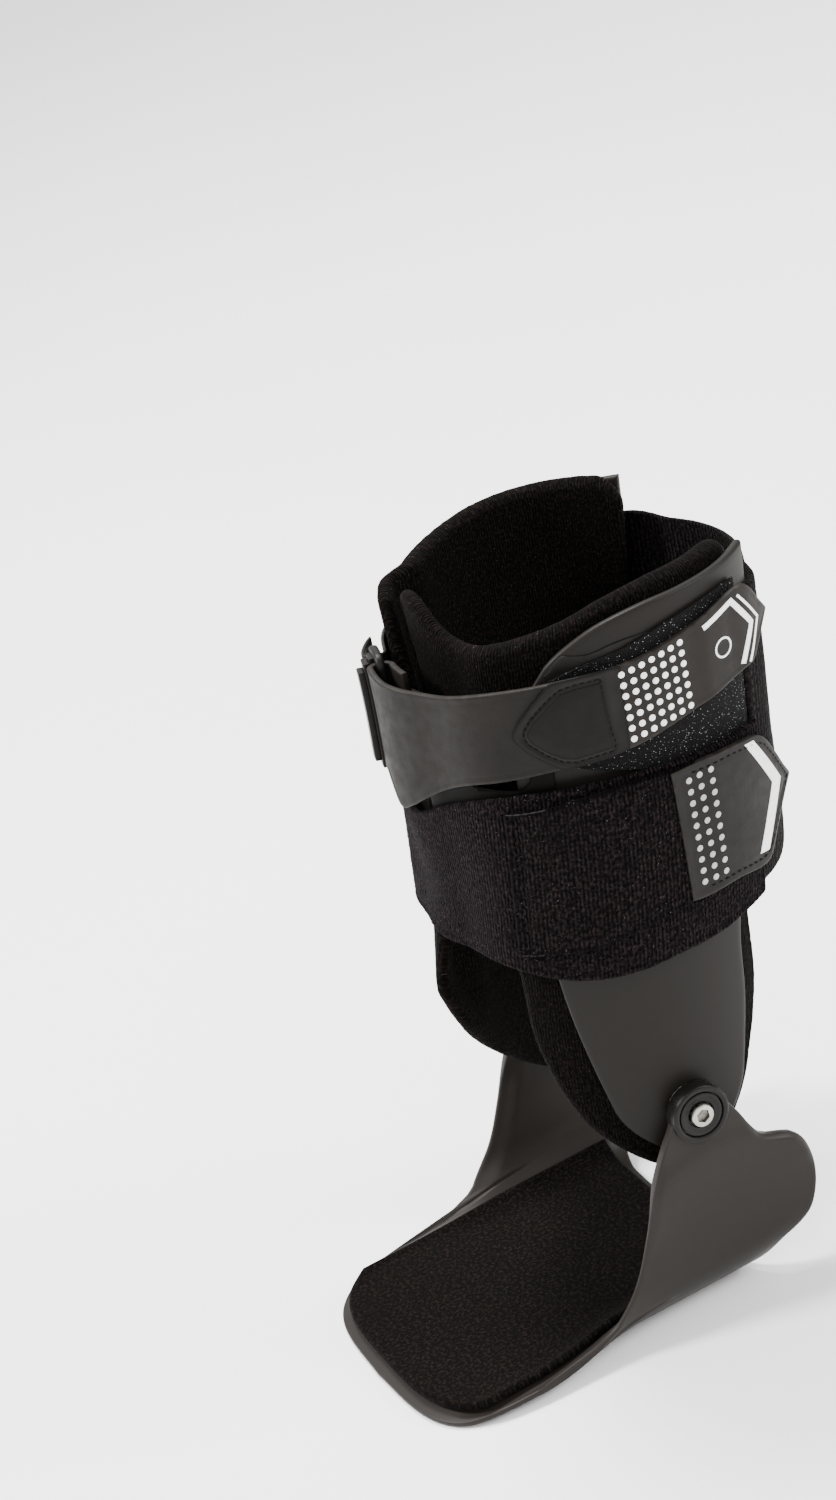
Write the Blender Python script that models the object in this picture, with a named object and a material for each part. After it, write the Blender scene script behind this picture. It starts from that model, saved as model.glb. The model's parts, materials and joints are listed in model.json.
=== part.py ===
"""Hinged stirrup ankle brace for a left foot, as an assembly of separate solids.

Frame: +Z up, toes towards -Y, lateral side towards +X, origin on the underside of the footplate,
straight below the hinge axis. Lengths are written in millimetres and become metres when a mesh is made.

The cuff is drawn in the shank's own frame: its origin is the middle of the hinge axis and its Z runs
up the shank. Most of its pieces are sheets laid at an offset from one elliptical skin, the outer face
of the plastic shells, so a layer is a pair of offsets. An angle on the skin is 0 at the side, -90 at
the shin and +90 at the calf. The medial pieces use the same angles, mirrored.
"""
import math
from functools import partial

import bmesh
import bpy
from mathutils import Matrix, Vector

MM = 0.001

# Driving dimensions
HINGE_HEIGHT = 60.0
LEAN = 8.0  # degrees the shank leans back at rest
LATERAL = 1
MEDIAL = -1

# Skin: half width, half depth and centre, by height above the hinge
SKIN_HALF_WIDTH = 42.0
SKIN_TAPER = 0.031
SKIN_HALF_DEPTH = 47.0
SKIN_DEPTH_GAIN = 4.0
SKIN_GAIN_HEIGHT = 45.0
CALF_SHIFT = 4.5
CALF_HEIGHT = 120.0

# How far the soft layers draw in between the shells, by height above the hinge
SHIN_TUCK = [(25, 0), (50, 6), (62, 6.7), (80, 4.6), (95, 3.5), (125, 2.5), (140, 1), (150, 0)]
CALF_TUCK = [(60, 0), (80, 1.5), (100, 3), (120, 3.7), (135, 5), (145, 7)]

# Layers, as offsets from the skin
GAP = 0.3
SHELL_THICKNESS = 2.5
HOOK_THICKNESS = 0.75
LINER_HOOK_THICKNESS = 0.8
LINER_THICKNESS = 6.5
FLAP_THICKNESS = 4.2
TONGUE_THICKNESS = 4.5
WRAP_THICKNESS = 2.2
STRAP_THICKNESS = 1.8
TAB_THICKNESS = 1.8
TAB_HOOK_THICKNESS = 0.8
SHELL_INNER = -SHELL_THICKNESS
LINER_HOOK_OUTER = SHELL_INNER - GAP
LINER_OUTER = LINER_HOOK_OUTER - LINER_HOOK_THICKNESS - GAP
FLAP_OUTER = -0.4
TONGUE_OUTER = FLAP_OUTER - FLAP_THICKNESS - 6 * GAP
HOOK_OUTER = 1.5 * GAP + HOOK_THICKNESS
WRAP_INNER = HOOK_OUTER + GAP
WRAP_OUTER = WRAP_INNER + WRAP_THICKNESS
CALF_PANEL_THICKNESS = 1.4
CALF_PANEL_OUTER = GAP + CALF_PANEL_THICKNESS
ANCHOR_THICKNESS = 0.9
ANCHOR_OUTER = GAP + ANCHOR_THICKNESS
PATCH_THICKNESS = 0.9

# Footplate
PLATE_THICKNESS = 3.0
BEND_RADIUS = 18.0
PAD_DEPTH = PLATE_THICKNESS + 2 * GAP
PAD_THICKNESS = 2.0
FLOOR_HALF_WIDTH = 28.5
LOBE_HALF_WIDTH = 36.0
WALL_START = FLOOR_HALF_WIDTH + BEND_RADIUS * math.pi / 2
EAR_RADIUS = 8.0
BOSS_RADIUS = 8.3
WALL_OUTER = FLOOR_HALF_WIDTH + BEND_RADIUS
WALL_INNER = WALL_OUTER - PLATE_THICKNESS
BOSS_OUTER = WALL_OUTER + 1.5

# Hinge stack
PIN_RADIUS = 2.0
SLEEVE_BORE = 2.3
SLEEVE_RADIUS = 2.9
HINGE_HOLE = 3.2
FLANGE_RADIUS = 6.0
WASHER_RADIUS = 7.6
CAP_RADIUS = 6.15
HEAD_RADIUS = 3.4
ROUND_SIDES = 24

# Strap ring
RING_ANGLE = -103.5
RING_BARS_APART = 12.0
RING_BAR_RADIUS = 1.2
RING_OFFSET = 3.9
RING_LOW = 95.0
RING_HIGH = 131.0
DEGREES_PER_MM = 57.3 / 55.0

# Tab roots
UPPER_TAB_ROOT = 9.6
LOWER_TAB_ROOT = 5.6
ROOT_GAP = 0.5


def clear_scene():
    for thing in list(bpy.data.objects):
        bpy.data.objects.remove(thing)


def make_material(name, color, roughness, metallic=0.0):
    material = bpy.data.materials.new(name)
    material.use_nodes = True
    shader = material.node_tree.nodes["Principled BSDF"]
    shader.inputs["Base Color"].default_value = (*color, 1.0)
    shader.inputs["Roughness"].default_value = roughness
    shader.inputs["Metallic"].default_value = metallic
    return material


def moulded(name):
    return make_material(name, (0.055, 0.050, 0.046), 0.45)


def fabric(name):
    return make_material(name, (0.012, 0.011, 0.012), 0.95)


def steel(name):
    return make_material(name, (0.60, 0.60, 0.58), 0.25, 1.0)


def constant(value, angle, height):
    return value


def ease(amount):
    amount = min(max(amount, 0.0), 1.0)
    return amount * amount * (3.0 - 2.0 * amount)


def along(points, at):
    """A smooth curve through (at, value) points, flat beyond its ends."""
    if at <= points[0][0]:
        return points[0][1]
    if at >= points[-1][0]:
        return points[-1][1]
    last = len(points) - 1
    slopes = []
    for i in range(len(points)):
        low, high = points[max(i - 1, 0)], points[min(i + 1, last)]
        slopes.append((high[1] - low[1]) / (high[0] - low[0]))
    i = max(k for k in range(last) if points[k][0] <= at)
    (x0, y0), (x1, y1) = points[i], points[i + 1]
    step = x1 - x0
    t = (at - x0) / step
    start = (2 * t**3 - 3 * t**2 + 1) * y0 + (t**3 - 2 * t**2 + t) * step * slopes[i]
    end = (3 * t**2 - 2 * t**3) * y1 + (t**3 - t**2) * step * slopes[i + 1]
    return start + end


def tuck(angle, height):
    """How far the skin draws in past the shells' edges, where only soft layers bridge the leg."""
    to_shin = 90 - abs(angle + 90)
    to_calf = 90 - abs((angle if angle > -90 else angle + 360) - 90)
    shin = along(SHIN_TUCK, height) * ease((to_shin - 46) / 30)
    return shin + along(CALF_TUCK, height) * ease((to_calf - 44) / 20)


def skin(angle, height, offset, side=LATERAL):
    """A point at this offset from the outer face of the shells, in the shank's frame."""
    offset -= tuck(angle, height)
    half_width = SKIN_HALF_WIDTH + SKIN_TAPER * height
    half_depth = SKIN_HALF_DEPTH + SKIN_DEPTH_GAIN * (1 - math.exp(-height / SKIN_GAIN_HEIGHT))
    turn = math.radians(angle)
    x = side * (half_width + offset) * math.cos(turn)
    y = CALF_SHIFT * ease(height / CALF_HEIGHT) + (half_depth + offset) * math.sin(turn)
    return Vector((x, y, height))


def finish_mesh(bm, name, material, parent):
    bmesh.ops.recalc_face_normals(bm, faces=bm.faces)
    mesh = bpy.data.meshes.new(name)
    bm.to_mesh(mesh)
    bm.free()
    mesh.shade_smooth()
    mesh.set_sharp_from_angle(angle=math.radians(35))
    piece = bpy.data.objects.new(name, mesh)
    piece.data.materials.append(material)
    bpy.context.scene.collection.objects.link(piece)
    piece.parent = parent
    return piece


def sheet_between(name, material, front, back, parent):
    """A closed sheet between two grids of points, which are lists of rows."""
    bm = bmesh.new()
    faces = []
    for grid in (front, back):
        faces.append([[bm.verts.new(point * MM) for point in row] for row in grid])
    rows, columns = len(front), len(front[0])
    for layer in faces:
        for j in range(rows - 1):
            for i in range(columns - 1):
                bm.faces.new((layer[j][i], layer[j][i + 1], layer[j + 1][i + 1], layer[j + 1][i]))
    rim = [(0, i) for i in range(columns - 1)] + [(j, columns - 1) for j in range(rows - 1)]
    rim += [(rows - 1, i) for i in range(columns - 1, 0, -1)] + [(j, 0) for j in range(rows - 1, 0, -1)]
    for (j0, i0), (j1, i1) in zip(rim, rim[1:] + rim[:1]):
        bm.faces.new((faces[0][j0][i0], faces[0][j1][i1], faces[1][j1][i1], faces[1][j0][i0]))
    return finish_mesh(bm, name, material, parent)


def panel(name, material, place, outer, thickness, size, parent, side=LATERAL):
    """A sheet on the skin: place(u, v) gives the angle and height, outer(angle, height) the offset."""
    columns, rows = size
    grids = []
    if not callable(thickness):
        thickness = partial(constant, thickness)
    for depth in (0, 1):
        grid = []
        for j in range(rows + 1):
            spots = [place(i / columns, j / rows) for i in range(columns + 1)]
            grid.append([skin(a, h, outer(a, h) - depth * thickness(a, h), side) for a, h in spots])
        grids.append(grid)
    return sheet_between(name, material, grids[0], grids[1], parent)


def band(name, material, angles, low, high, outer, thickness, parent, rows=4, side=LATERAL, step=6.0):
    """A panel between two edges that are functions of the angle, with a column each step degrees."""
    columns = max(2, round(abs(angles[1] - angles[0]) / step))

    def place(u, v):
        angle = angles[0] + (angles[1] - angles[0]) * u
        return angle, low(angle) + (high(angle) - low(angle)) * v

    return panel(name, material, place, outer, thickness, (columns, rows), parent, side)


def strip(name, material, path, low, high, thickness, parent, rows=3, side=LATERAL):
    """A strap along a path of (angle, offset) stations, which may fold back over itself."""
    grids = [[], []]
    for k, (angle, offset) in enumerate(path):
        before, after = path[max(k - 1, 0)], path[min(k + 1, len(path) - 1)]
        lines = [[], []]
        for j in range(rows + 1):
            height = low(k) + (high(k) - low(k)) * j / rows
            middle = skin(angle, height, offset, side)
            run = skin(after[0], height, after[1], side) - skin(before[0], height, before[1], side)
            normal = run.cross(Vector((0, 0, 1))).normalized() * thickness / 2
            lines[0].append(middle + normal)
            lines[1].append(middle - normal)
        grids[0].append(lines[0])
        grids[1].append(lines[1])
    return sheet_between(name, material, grids[0], grids[1], parent)


def turned(name, material, profile, parent, side, solid=False):
    """A solid of revolution about the hinge axis: profile holds (x, radius) points.

    A solid profile is capped at both ends; any other closes on itself round a bore."""
    bm = bmesh.new()
    rings = []
    for x, radius in profile:
        turns = [2 * math.pi * k / ROUND_SIDES for k in range(ROUND_SIDES)]
        spots = [Vector((side * x, radius * math.cos(turn), radius * math.sin(turn))) for turn in turns]
        rings.append([bm.verts.new(spot * MM) for spot in spots])
    pairs = list(zip(rings, rings[1:]))
    if solid:
        bm.faces.new(rings[0])
        bm.faces.new(rings[-1])
    else:
        pairs.append((rings[-1], rings[0]))
    for ring, following in pairs:
        for k in range(ROUND_SIDES):
            other = (k + 1) % ROUND_SIDES
            bm.faces.new((ring[k], ring[other], following[other], following[k]))
    return finish_mesh(bm, name, material, parent)


def plug(name, x_range, radius, parent, side, centre=(0.0, 0.0), sides=ROUND_SIDES):
    """A hidden cylinder along X that cuts a hole, or that is joined to a piece."""
    bm = bmesh.new()
    length = (x_range[1] - x_range[0]) * MM
    middle = Vector((side * (x_range[0] + x_range[1]) / 2, *centre)) * MM
    place = Matrix.Translation(middle) @ Matrix.Rotation(math.pi / 2, 4, "Y")
    bmesh.ops.create_cone(bm, cap_ends=True, segments=sides, radius1=radius * MM,
                          radius2=radius * MM, depth=length, matrix=place)
    piece = finish_mesh(bm, name, make_material(name, (0.5, 0.5, 0.5), 0.5), parent)
    piece.hide_render = True
    piece.display_type = "WIRE"
    return piece


def boolean(piece, tool, operation):
    modifier = piece.modifiers.new(tool.name, "BOOLEAN")
    modifier.operation = operation
    modifier.solver = "EXACT"
    modifier.object = tool


# Footplate ----------------------------------------------------------------------------------

def plate_point(s, y, depth):
    """A point of the bent plate: s runs from the middle of the sole out and up the side wall."""
    floor = FLOOR_HALF_WIDTH + (LOBE_HALF_WIDTH - FLOOR_HALF_WIDTH) * ease((-30 - y) / 35)
    sign = -1 if s < 0 else 1
    run = abs(s)
    radius = BEND_RADIUS - depth
    if run <= floor:
        return Vector((sign * run, y, depth))
    if run <= floor + BEND_RADIUS * math.pi / 2:
        turn = (run - floor) / BEND_RADIUS
        return Vector((sign * (floor + radius * math.sin(turn)), y, BEND_RADIUS - radius * math.cos(turn)))
    return Vector((sign * (floor + radius), y, BEND_RADIUS + run - floor - BEND_RADIUS * math.pi / 2))


def plate_edges():
    """Rows of the plate's outline: distance s from the middle, front edge and rear edge."""
    front = [(0, -94.5), (24, -93), (36, -88.5), (43, -80), (46, -68), (47, -50), (48.5, -41.5),
             (50.5, -38.3), (58.3, -30.7), (69.8, -24.3), (83, -18.2), (93, -12.2)]
    rear = [(0, 4), (28, 4), (37, 6), (42.2, 9), (47.9, 14), (50.2, 18.5), (54.4, 23.5), (64, 27.4),
            (74.3, 27), (79.6, 23.3), (82.6, 16.2), (86.8, 13.3), (93, 10.8)]
    rows = []
    for s in (0, 12, 24, 30, 35, 39, 42, 44, 45.5, 47, 48.5, 50.5, 54, 58.5, 64, 70, 75, 79, 81.5, 84,
              88, 93):
        rows.append((s, along(front, s), along(rear, s)))
    ear_middle = WALL_START + HINGE_HEIGHT - BEND_RADIUS
    for turn in (0, 20, 38, 54, 68, 80):
        half = EAR_RADIUS * math.cos(math.radians(turn))
        rows.append((ear_middle + EAR_RADIUS * math.sin(math.radians(turn)), -half, half))
    return rows


def build_plate(name, material, depths, rows, columns=8):
    grids = []
    both = [(-s, f, r) for s, f, r in reversed(rows[1:])] + rows
    for depth in depths:
        grid = []
        for s, front, rear in both:
            ys = [front + (rear - front) * i / columns for i in range(columns + 1)]
            grid.append([plate_point(s, y, depth) for y in ys])
        grids.append(grid)
    return sheet_between(name, material, grids[0], grids[1], None)


def build_footplate():
    plate = build_plate("footplate", moulded("footplate"), (0.0, PLATE_THICKNESS), plate_edges())
    centre = (0.0, HINGE_HEIGHT)
    for side, word in ((LATERAL, "lateral"), (MEDIAL, "medial")):
        boss = plug(word + "_boss", (WALL_INNER, BOSS_OUTER), BOSS_RADIUS, None, side, centre, 48)
        recess = plug(word + "_recess", (WALL_OUTER + 0.1, BOSS_OUTER + 2), CAP_RADIUS + 0.3,
                      None, side, centre)
        hole = plug(word + "_hole", (WALL_INNER - 2, BOSS_OUTER + 2), HINGE_HOLE, None, side, centre)
        boolean(plate, boss, "UNION")
        boolean(plate, recess, "DIFFERENCE")
        boolean(plate, hole, "DIFFERENCE")
    return plate


def build_sole_pad():
    rows = []
    for s in (0, 12, 24, 30, 35, 39, 41, 43):
        front = -91.5 + 13 * (s / 43) ** 4
        rows.append((s, front, 1.0))
    return build_plate("sole_pad", fabric("sole_pad"), (PAD_DEPTH, PAD_DEPTH + PAD_THICKNESS), rows, 8)


# Hinge ---------------------------------------------------------------------------------------

def build_hinge(side, word, parent):
    """Washer between shell and ear, sleeve nut from inside, cap disc and socket screw from outside."""
    shell_inner = SKIN_HALF_WIDTH - SHELL_THICKNESS
    washer_low, washer_high = SKIN_HALF_WIDTH + 2 * GAP, WALL_INNER - GAP
    turned(word + "_friction_washer", make_material(word + "_washer", (0.6, 0.58, 0.52), 0.5),
           [(washer_low, HINGE_HOLE), (washer_low, WASHER_RADIUS), (washer_high, WASHER_RADIUS),
            (washer_high, HINGE_HOLE)], parent, side)
    flange_high = shell_inner - GAP
    flange_low = flange_high - 1.3
    turned(word + "_sleeve_nut", steel(word + "_nut"),
           [(flange_low, SLEEVE_BORE), (flange_low, FLANGE_RADIUS), (flange_high, FLANGE_RADIUS),
            (flange_high, SLEEVE_RADIUS), (WALL_OUTER - 0.3, SLEEVE_RADIUS),
            (WALL_OUTER - 0.3, SLEEVE_BORE)], parent, side)
    cap_low = WALL_OUTER + 0.4
    turned(word + "_hinge_cap", moulded(word + "_cap"),
           [(cap_low, HEAD_RADIUS + 0.3), (cap_low, CAP_RADIUS), (cap_low + 0.6, CAP_RADIUS),
            (cap_low + 0.9, CAP_RADIUS - 0.3), (cap_low + 0.9, HEAD_RADIUS + 0.3)], parent, side)
    head_low, head_high = WALL_OUTER + 0.4, WALL_OUTER + 2.4
    socket_low = head_high - 1.3
    screw = turned(word + "_hinge_screw", steel(word + "_screw"),
                   [(flange_low, PIN_RADIUS), (head_low, PIN_RADIUS), (head_low, HEAD_RADIUS),
                    (head_high - 0.5, HEAD_RADIUS), (head_high, HEAD_RADIUS - 0.6)],
                   parent, side, True)
    socket = plug(word + "_screw_socket", (socket_low, head_high + 1), 1.7, parent, side, (0, 0), 6)
    boolean(screw, socket, "DIFFERENCE")


# Shells and liners -----------------------------------------------------------------------------

SHELL_LOW = -13.0
SHELL_TOP = 148.0
SHELL_FRONT = [(-13, 19), (0, 24), (28, 33), (45, 37), (75, 42), (105, 44.5), (148, 44)]
SHELL_REAR = [(-13, 20), (0, 23), (24, 26.5), (45, 26), (75, 32), (105, 38), (130, 43), (148, 44)]
SHELL_RIM = [(-44, 122), (-36.4, 127.5), (-31, 133.5), (-23, 138.5), (-14, 142.2), (-1, 144.7),
             (12, 145.4), (30, 146.3), (44, 147.5)]
LINER_LOW = -21.0
LINER_TOP = 152.0
LINER_REAR = [(-20, 26), (2, 36), (12, 41), (25, 44), (44, 41), (75, 41), (100, 43), (152, 47)]
LATERAL_LINER_FRONT = [(-18, 26), (-3, 37), (11, 46), (26, 52), (45, 55), (60, 60), (75, 76),
                       (90, 98), (105, 110), (152, 112)]
LATERAL_LINER_RIM = [(-112, 143), (-96, 146), (-86, 145.5), (-80, 139.5), (-72, 136.5), (-60, 136.3),
                     (-45, 138), (-25, 142.1), (-12, 145.8), (5, 148.5), (26, 149.2), (47, 150)]
MEDIAL_LINER_FRONT = [(-18, 26), (-3, 42), (11, 60), (26, 68), (45, 68), (60, 66), (75, 70), (90, 80),
                      (102, 92), (115, 98), (123, 98), (131, 88), (140, 76), (152, 66)]
MEDIAL_LINER_RIM = [(-86, 132), (-75, 136), (-68, 139.5), (-57, 142.5), (-30, 146), (0, 149.5),
                    (47, 150)]


def nose(height, low, depth):
    """How much of its full width a piece has this far above its rounded lower end."""
    climb = min(max((height - low) / depth, 0.0), 1.0)
    return math.sqrt(max(1 - (1 - climb) ** 2, 0.02))


def side_place(low, top, front, rear, rim, nose_depth):
    """A panel with a rounded lower end, free front and rear edges and a shaped upper rim."""
    def place(u, v):
        climb = 1 - math.cos(v * math.pi / 2) if v < 0.5 else None
        start = 1 - math.cos(math.pi / 4)
        share = climb if climb is not None else start + (1 - start) * (v - 0.5) / 0.5
        height = low + (top - low) * share
        width = nose(height, low, nose_depth)
        front_angle = -along(front, height) * width
        rear_angle = along(rear, height) * width
        angle = front_angle + (rear_angle - front_angle) * u
        drop = top - along(rim, angle)
        return angle, height - drop * ease((height - low) / (top - low)) ** 1.5

    return place


def build_shell(side, word, parent):
    place = side_place(SHELL_LOW, SHELL_TOP, SHELL_FRONT, SHELL_REAR, SHELL_RIM, 17.0)
    shell = panel(word + "_shell", moulded(word + "_shell"), place, lambda a, h: 0.0,
                  SHELL_THICKNESS, (12, 14), parent, side)
    hole = plug(word + "_shell_hole", (SKIN_HALF_WIDTH - 6, SKIN_HALF_WIDTH + 4), HINGE_HOLE, parent, side)
    seat = plug(word + "_shell_seat", (SKIN_HALF_WIDTH - 9, SKIN_HALF_WIDTH - SHELL_THICKNESS),
                FLANGE_RADIUS + 0.6, parent, side)
    boolean(shell, hole, "DIFFERENCE")
    boolean(shell, seat, "DIFFERENCE")
    return shell


def flap_rise(angle, height):
    return ease((-angle - 45) / 13) * ease((height - 8) / 24)


def flap_outer(angle, height):
    """The medial liner rises from under its shell's front edge to ride over the tongue."""
    return LINER_OUTER + (FLAP_OUTER - LINER_OUTER) * flap_rise(angle, height)


def flap_thickness(angle, height):
    return LINER_THICKNESS + (FLAP_THICKNESS - LINER_THICKNESS) * flap_rise(angle, height)


def tongue_outer(angle, height):
    """The lateral liner's front tongue dips to tuck under the medial liner's flap."""
    return LINER_OUTER + (TONGUE_OUTER - LINER_OUTER) * ease((-angle - 52) / 18)


def tongue_thickness(angle, height):
    return LINER_THICKNESS + (TONGUE_THICKNESS - LINER_THICKNESS) * ease((-angle - 48) / 20)


def build_liner(side, word, parent):
    front = LATERAL_LINER_FRONT if side == LATERAL else MEDIAL_LINER_FRONT
    rim = LATERAL_LINER_RIM if side == LATERAL else MEDIAL_LINER_RIM
    outer = tongue_outer if side == LATERAL else flap_outer
    thickness = tongue_thickness if side == LATERAL else flap_thickness
    place = side_place(LINER_LOW, LINER_TOP, front, LINER_REAR, rim, 22.0)
    liner = panel(word + "_liner", fabric(word + "_liner"), place, outer, thickness,
                  (18, 14), parent, side)
    flange_low = SKIN_HALF_WIDTH - SHELL_THICKNESS - GAP - 1.3
    pocket = plug(word + "_liner_pocket", (flange_low - GAP, SKIN_HALF_WIDTH), FLANGE_RADIUS + 1.5,
                  parent, side)
    boolean(liner, pocket, "DIFFERENCE")
    return liner


def build_liner_hook(side, word, parent):
    band(word + "_liner_hook_patch", fabric(word + "_liner_hook"), (-17, 17), lambda a: 24.0,
         lambda a: 118.0, lambda a, h: LINER_HOOK_OUTER, LINER_HOOK_THICKNESS, parent, 6, side)


# Hook field, wrap and calf panel ---------------------------------------------------------------

WRAP_LOW = [(-140, 50), (-110, 50), (-91, 50), (-77, 50.7), (-65, 50.9), (-55, 50.6), (-45, 48.9),
            (-36, 46.7), (-25, 45.4), (-13, 45.6), (0, 47.3), (13, 48.4), (25, 50.5), (34, 52)]
WRAP_HIGH = [(-214, 93), (-140, 86), (-97, 85.5), (-82, 89.7), (-75, 92.2), (-61, 96.3), (-48, 99),
             (-36, 100.2), (-14, 101.3), (34, 101.3)]
HOOK_HIGH = [(-30, 130), (-22, 132.5), (-9, 135), (3, 138), (18, 140.5), (27, 141.3)]
HOOK_FRONT = [(58, -8), (101, -8), (103.5, -20), (107, -30), (140, -30)]


def build_hook_field(side, word, parent):
    """Hook tape on the shell, narrower low down where only the lower strap's end reaches it."""
    def place(u, v):
        height = 58.0 + 70.0 * v
        front = along(HOOK_FRONT, height)
        angle = front + (27.0 - front) * u
        return angle, height + (along(HOOK_HIGH, angle) - 128.0) * ease((v - 0.62) / 0.38)

    panel(word + "_hook_field", fabric(word + "_hook_field"), place, lambda a, h: HOOK_OUTER,
          HOOK_THICKNESS, (9, 14), parent, side)


def build_lower_wrap(parent):
    def low(angle):
        return along(WRAP_LOW, angle if angle > -140 else -140)

    band("lower_wrap", fabric("lower_wrap"), (-214, 34), low, lambda a: along(WRAP_HIGH, a),
         lambda a, h: WRAP_OUTER, WRAP_THICKNESS, parent, 4)


def build_calf_panel(parent):
    def low(angle):
        return 53.5 + 5.5 * ease((42 - abs(angle - 90)) / 42)

    def high(angle):
        return 134.5 + 2.5 * math.sin(math.radians(angle))

    band("calf_panel", fabric("calf_panel"), (37, 143), low, high,
         lambda a, h: CALF_PANEL_OUTER, CALF_PANEL_THICKNESS, parent, 6)


# Lower strap -----------------------------------------------------------------------------------

LOWER_STRAP_OUTER = WRAP_OUTER + GAP + STRAP_THICKNESS
LOWER_TAB_END = 45.0
LOWER_TAB_HIGH = [(5.6, 100.6), (17, 100.6), (27, 99.8), (31, 97.8), (36, 92), (41, 85.8), (45, 81.8)]
LOWER_TAB_LOW = [(5.6, 62), (18, 63.4), (28, 62.6), (32, 63.8), (36, 70.5), (41, 77.5), (45, 81.2)]


def lower_tab_outer(angle, height):
    return LOWER_STRAP_OUTER + 1.0 * ease((angle - LOWER_TAB_ROOT) / 8)


def build_lower_strap(parent, tab_parent):
    band("lower_strap", fabric("lower_strap"), (-47, LOWER_TAB_ROOT - ROOT_GAP),
         lambda a: 55.2 + 6.6 * ease((a + 30) / 36), lambda a: 95.6 + 4.8 * ease((a + 47) / 40),
         lambda a, h: LOWER_STRAP_OUTER, STRAP_THICKNESS, parent, 3)
    angles = (LOWER_TAB_ROOT, LOWER_TAB_END)
    band("lower_tab", moulded("lower_tab"), angles, lambda a: along(LOWER_TAB_LOW, a),
         lambda a: along(LOWER_TAB_HIGH, a), lower_tab_outer, TAB_THICKNESS, tab_parent, 5, step=3.3)
    band("lower_tab_hook_patch", fabric("lower_tab_hook"), (15, 30), lambda a: 67.0, lambda a: 95.0,
         lambda a, h: lower_tab_outer(a, h) - TAB_THICKNESS - GAP, TAB_HOOK_THICKNESS * 0.6, tab_parent, 3)


# Upper strap -------------------------------------------------------------------------------------

UPPER_TAB_END = 42.0
STRAP_HIGH = [(-97, 127.4), (-91, 125.6), (-84.5, 125.2), (-74, 125.4), (-65, 125.9), (-50, 128.2),
              (-38, 129.5), (-27, 130.5), (-16, 131), (-5, 132.2), (8, 134.9), (15, 136.8),
              (23, 138.9), (31, 140.4), (34.5, 138), (38, 133.9), (42, 129.9)]
STRAP_LOW = [(-97, 98.6), (-92, 90), (-85, 91.4), (-79, 94.3), (-69, 98.6), (-58, 102), (-42, 104.7),
             (-30, 106.4), (-19, 107.3), (-8, 108.8), (5, 112), (12, 113.7), (21.5, 116),
             (29, 117.8), (33, 119.2), (37, 124), (42, 129.3)]
FOLD_RADIUS = 2.95


def strap_middle(angle):
    """Offset of the strap's middle: proud of the ring, over the anchor plate, then on the hook field."""
    over_anchor = ANCHOR_OUTER + 1.2 + STRAP_THICKNESS / 2
    on_hooks = HOOK_OUTER + GAP + STRAP_THICKNESS / 2
    at_ring = RING_OFFSET + FOLD_RADIUS
    offset = over_anchor + (at_ring - over_anchor) * ease((-angle - 82) / 14)
    return offset + (on_hooks - over_anchor) * ease((angle + 33) / 16)


def ring_bar_angle(bar):
    return RING_ANGLE + bar * RING_BARS_APART / 2 * DEGREES_PER_MM


def fold_stations(bar, steps=8):
    """Half a turn round one bar of the ring: bar is +1 for the strap's bar, -1 for the keeper's."""
    stations = []
    for k in range(steps + 1):
        turn = math.pi * k / steps
        swing = FOLD_RADIUS * math.sin(turn) * DEGREES_PER_MM
        stations.append((ring_bar_angle(bar) - bar * swing, RING_OFFSET - FOLD_RADIUS * math.cos(turn)))
    return stations


def build_upper_strap(parent, tab_parent):
    start = ring_bar_angle(1)
    path = [(start + 11, RING_OFFSET - FOLD_RADIUS), (start + 5, RING_OFFSET - FOLD_RADIUS)]
    path += fold_stations(1)
    end = UPPER_TAB_ROOT - ROOT_GAP
    count = round((end - start) / 6)
    for k in range(1, count + 1):
        angle = start + (end - start) * k / count
        path.append((angle, strap_middle(angle)))
    folded = len(fold_stations(1)) + 2
    narrow_low, narrow_high = RING_LOW + 3.6, RING_HIGH - 3.6

    def low(k):
        return narrow_low if k < folded else along(STRAP_LOW, path[k][0])

    def high(k):
        return narrow_high if k < folded else along(STRAP_HIGH, path[k][0])

    strip("upper_strap", moulded("upper_strap"), path, low, high, STRAP_THICKNESS, parent)
    angles = (UPPER_TAB_ROOT, UPPER_TAB_END)
    band("upper_tab", moulded("upper_tab"), angles, lambda a: along(STRAP_LOW, a),
         lambda a: along(STRAP_HIGH, a), upper_tab_outer, TAB_THICKNESS, tab_parent, 5, step=3.3)
    band("upper_tab_hook_patch", fabric("upper_tab_hook"), (15, 26.5), lambda a: along(STRAP_LOW, a) + 4,
         lambda a: along(STRAP_HIGH, a) - 4, lambda a, h: upper_tab_outer(a, h) - TAB_THICKNESS - GAP,
         TAB_HOOK_THICKNESS * 0.6, tab_parent, 3)


def upper_tab_outer(angle, height):
    base = HOOK_OUTER + GAP + STRAP_THICKNESS
    lifted = base + 0.8 * ease((angle - UPPER_TAB_ROOT) / 7)
    return lifted + 1.2 * ease((angle - 24) / 9)


def build_strap_patch(parent):
    """The five-sided leather-like patch sewn on the strap over its anchor end."""
    high = [(-42, 118.3), (-33, 126.6), (-16, 130.4), (-14, 130.6)]
    low = [(-42, 117.1), (-31, 110.4), (-14, 111.2)]
    band("strap_patch", moulded("strap_patch"), (-42, -14), lambda a: along(low, a),
         lambda a: along(high, a), lambda a, h: strap_middle(a) + STRAP_THICKNESS / 2 + GAP + PATCH_THICKNESS,
         PATCH_THICKNESS, parent, 3)


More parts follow.
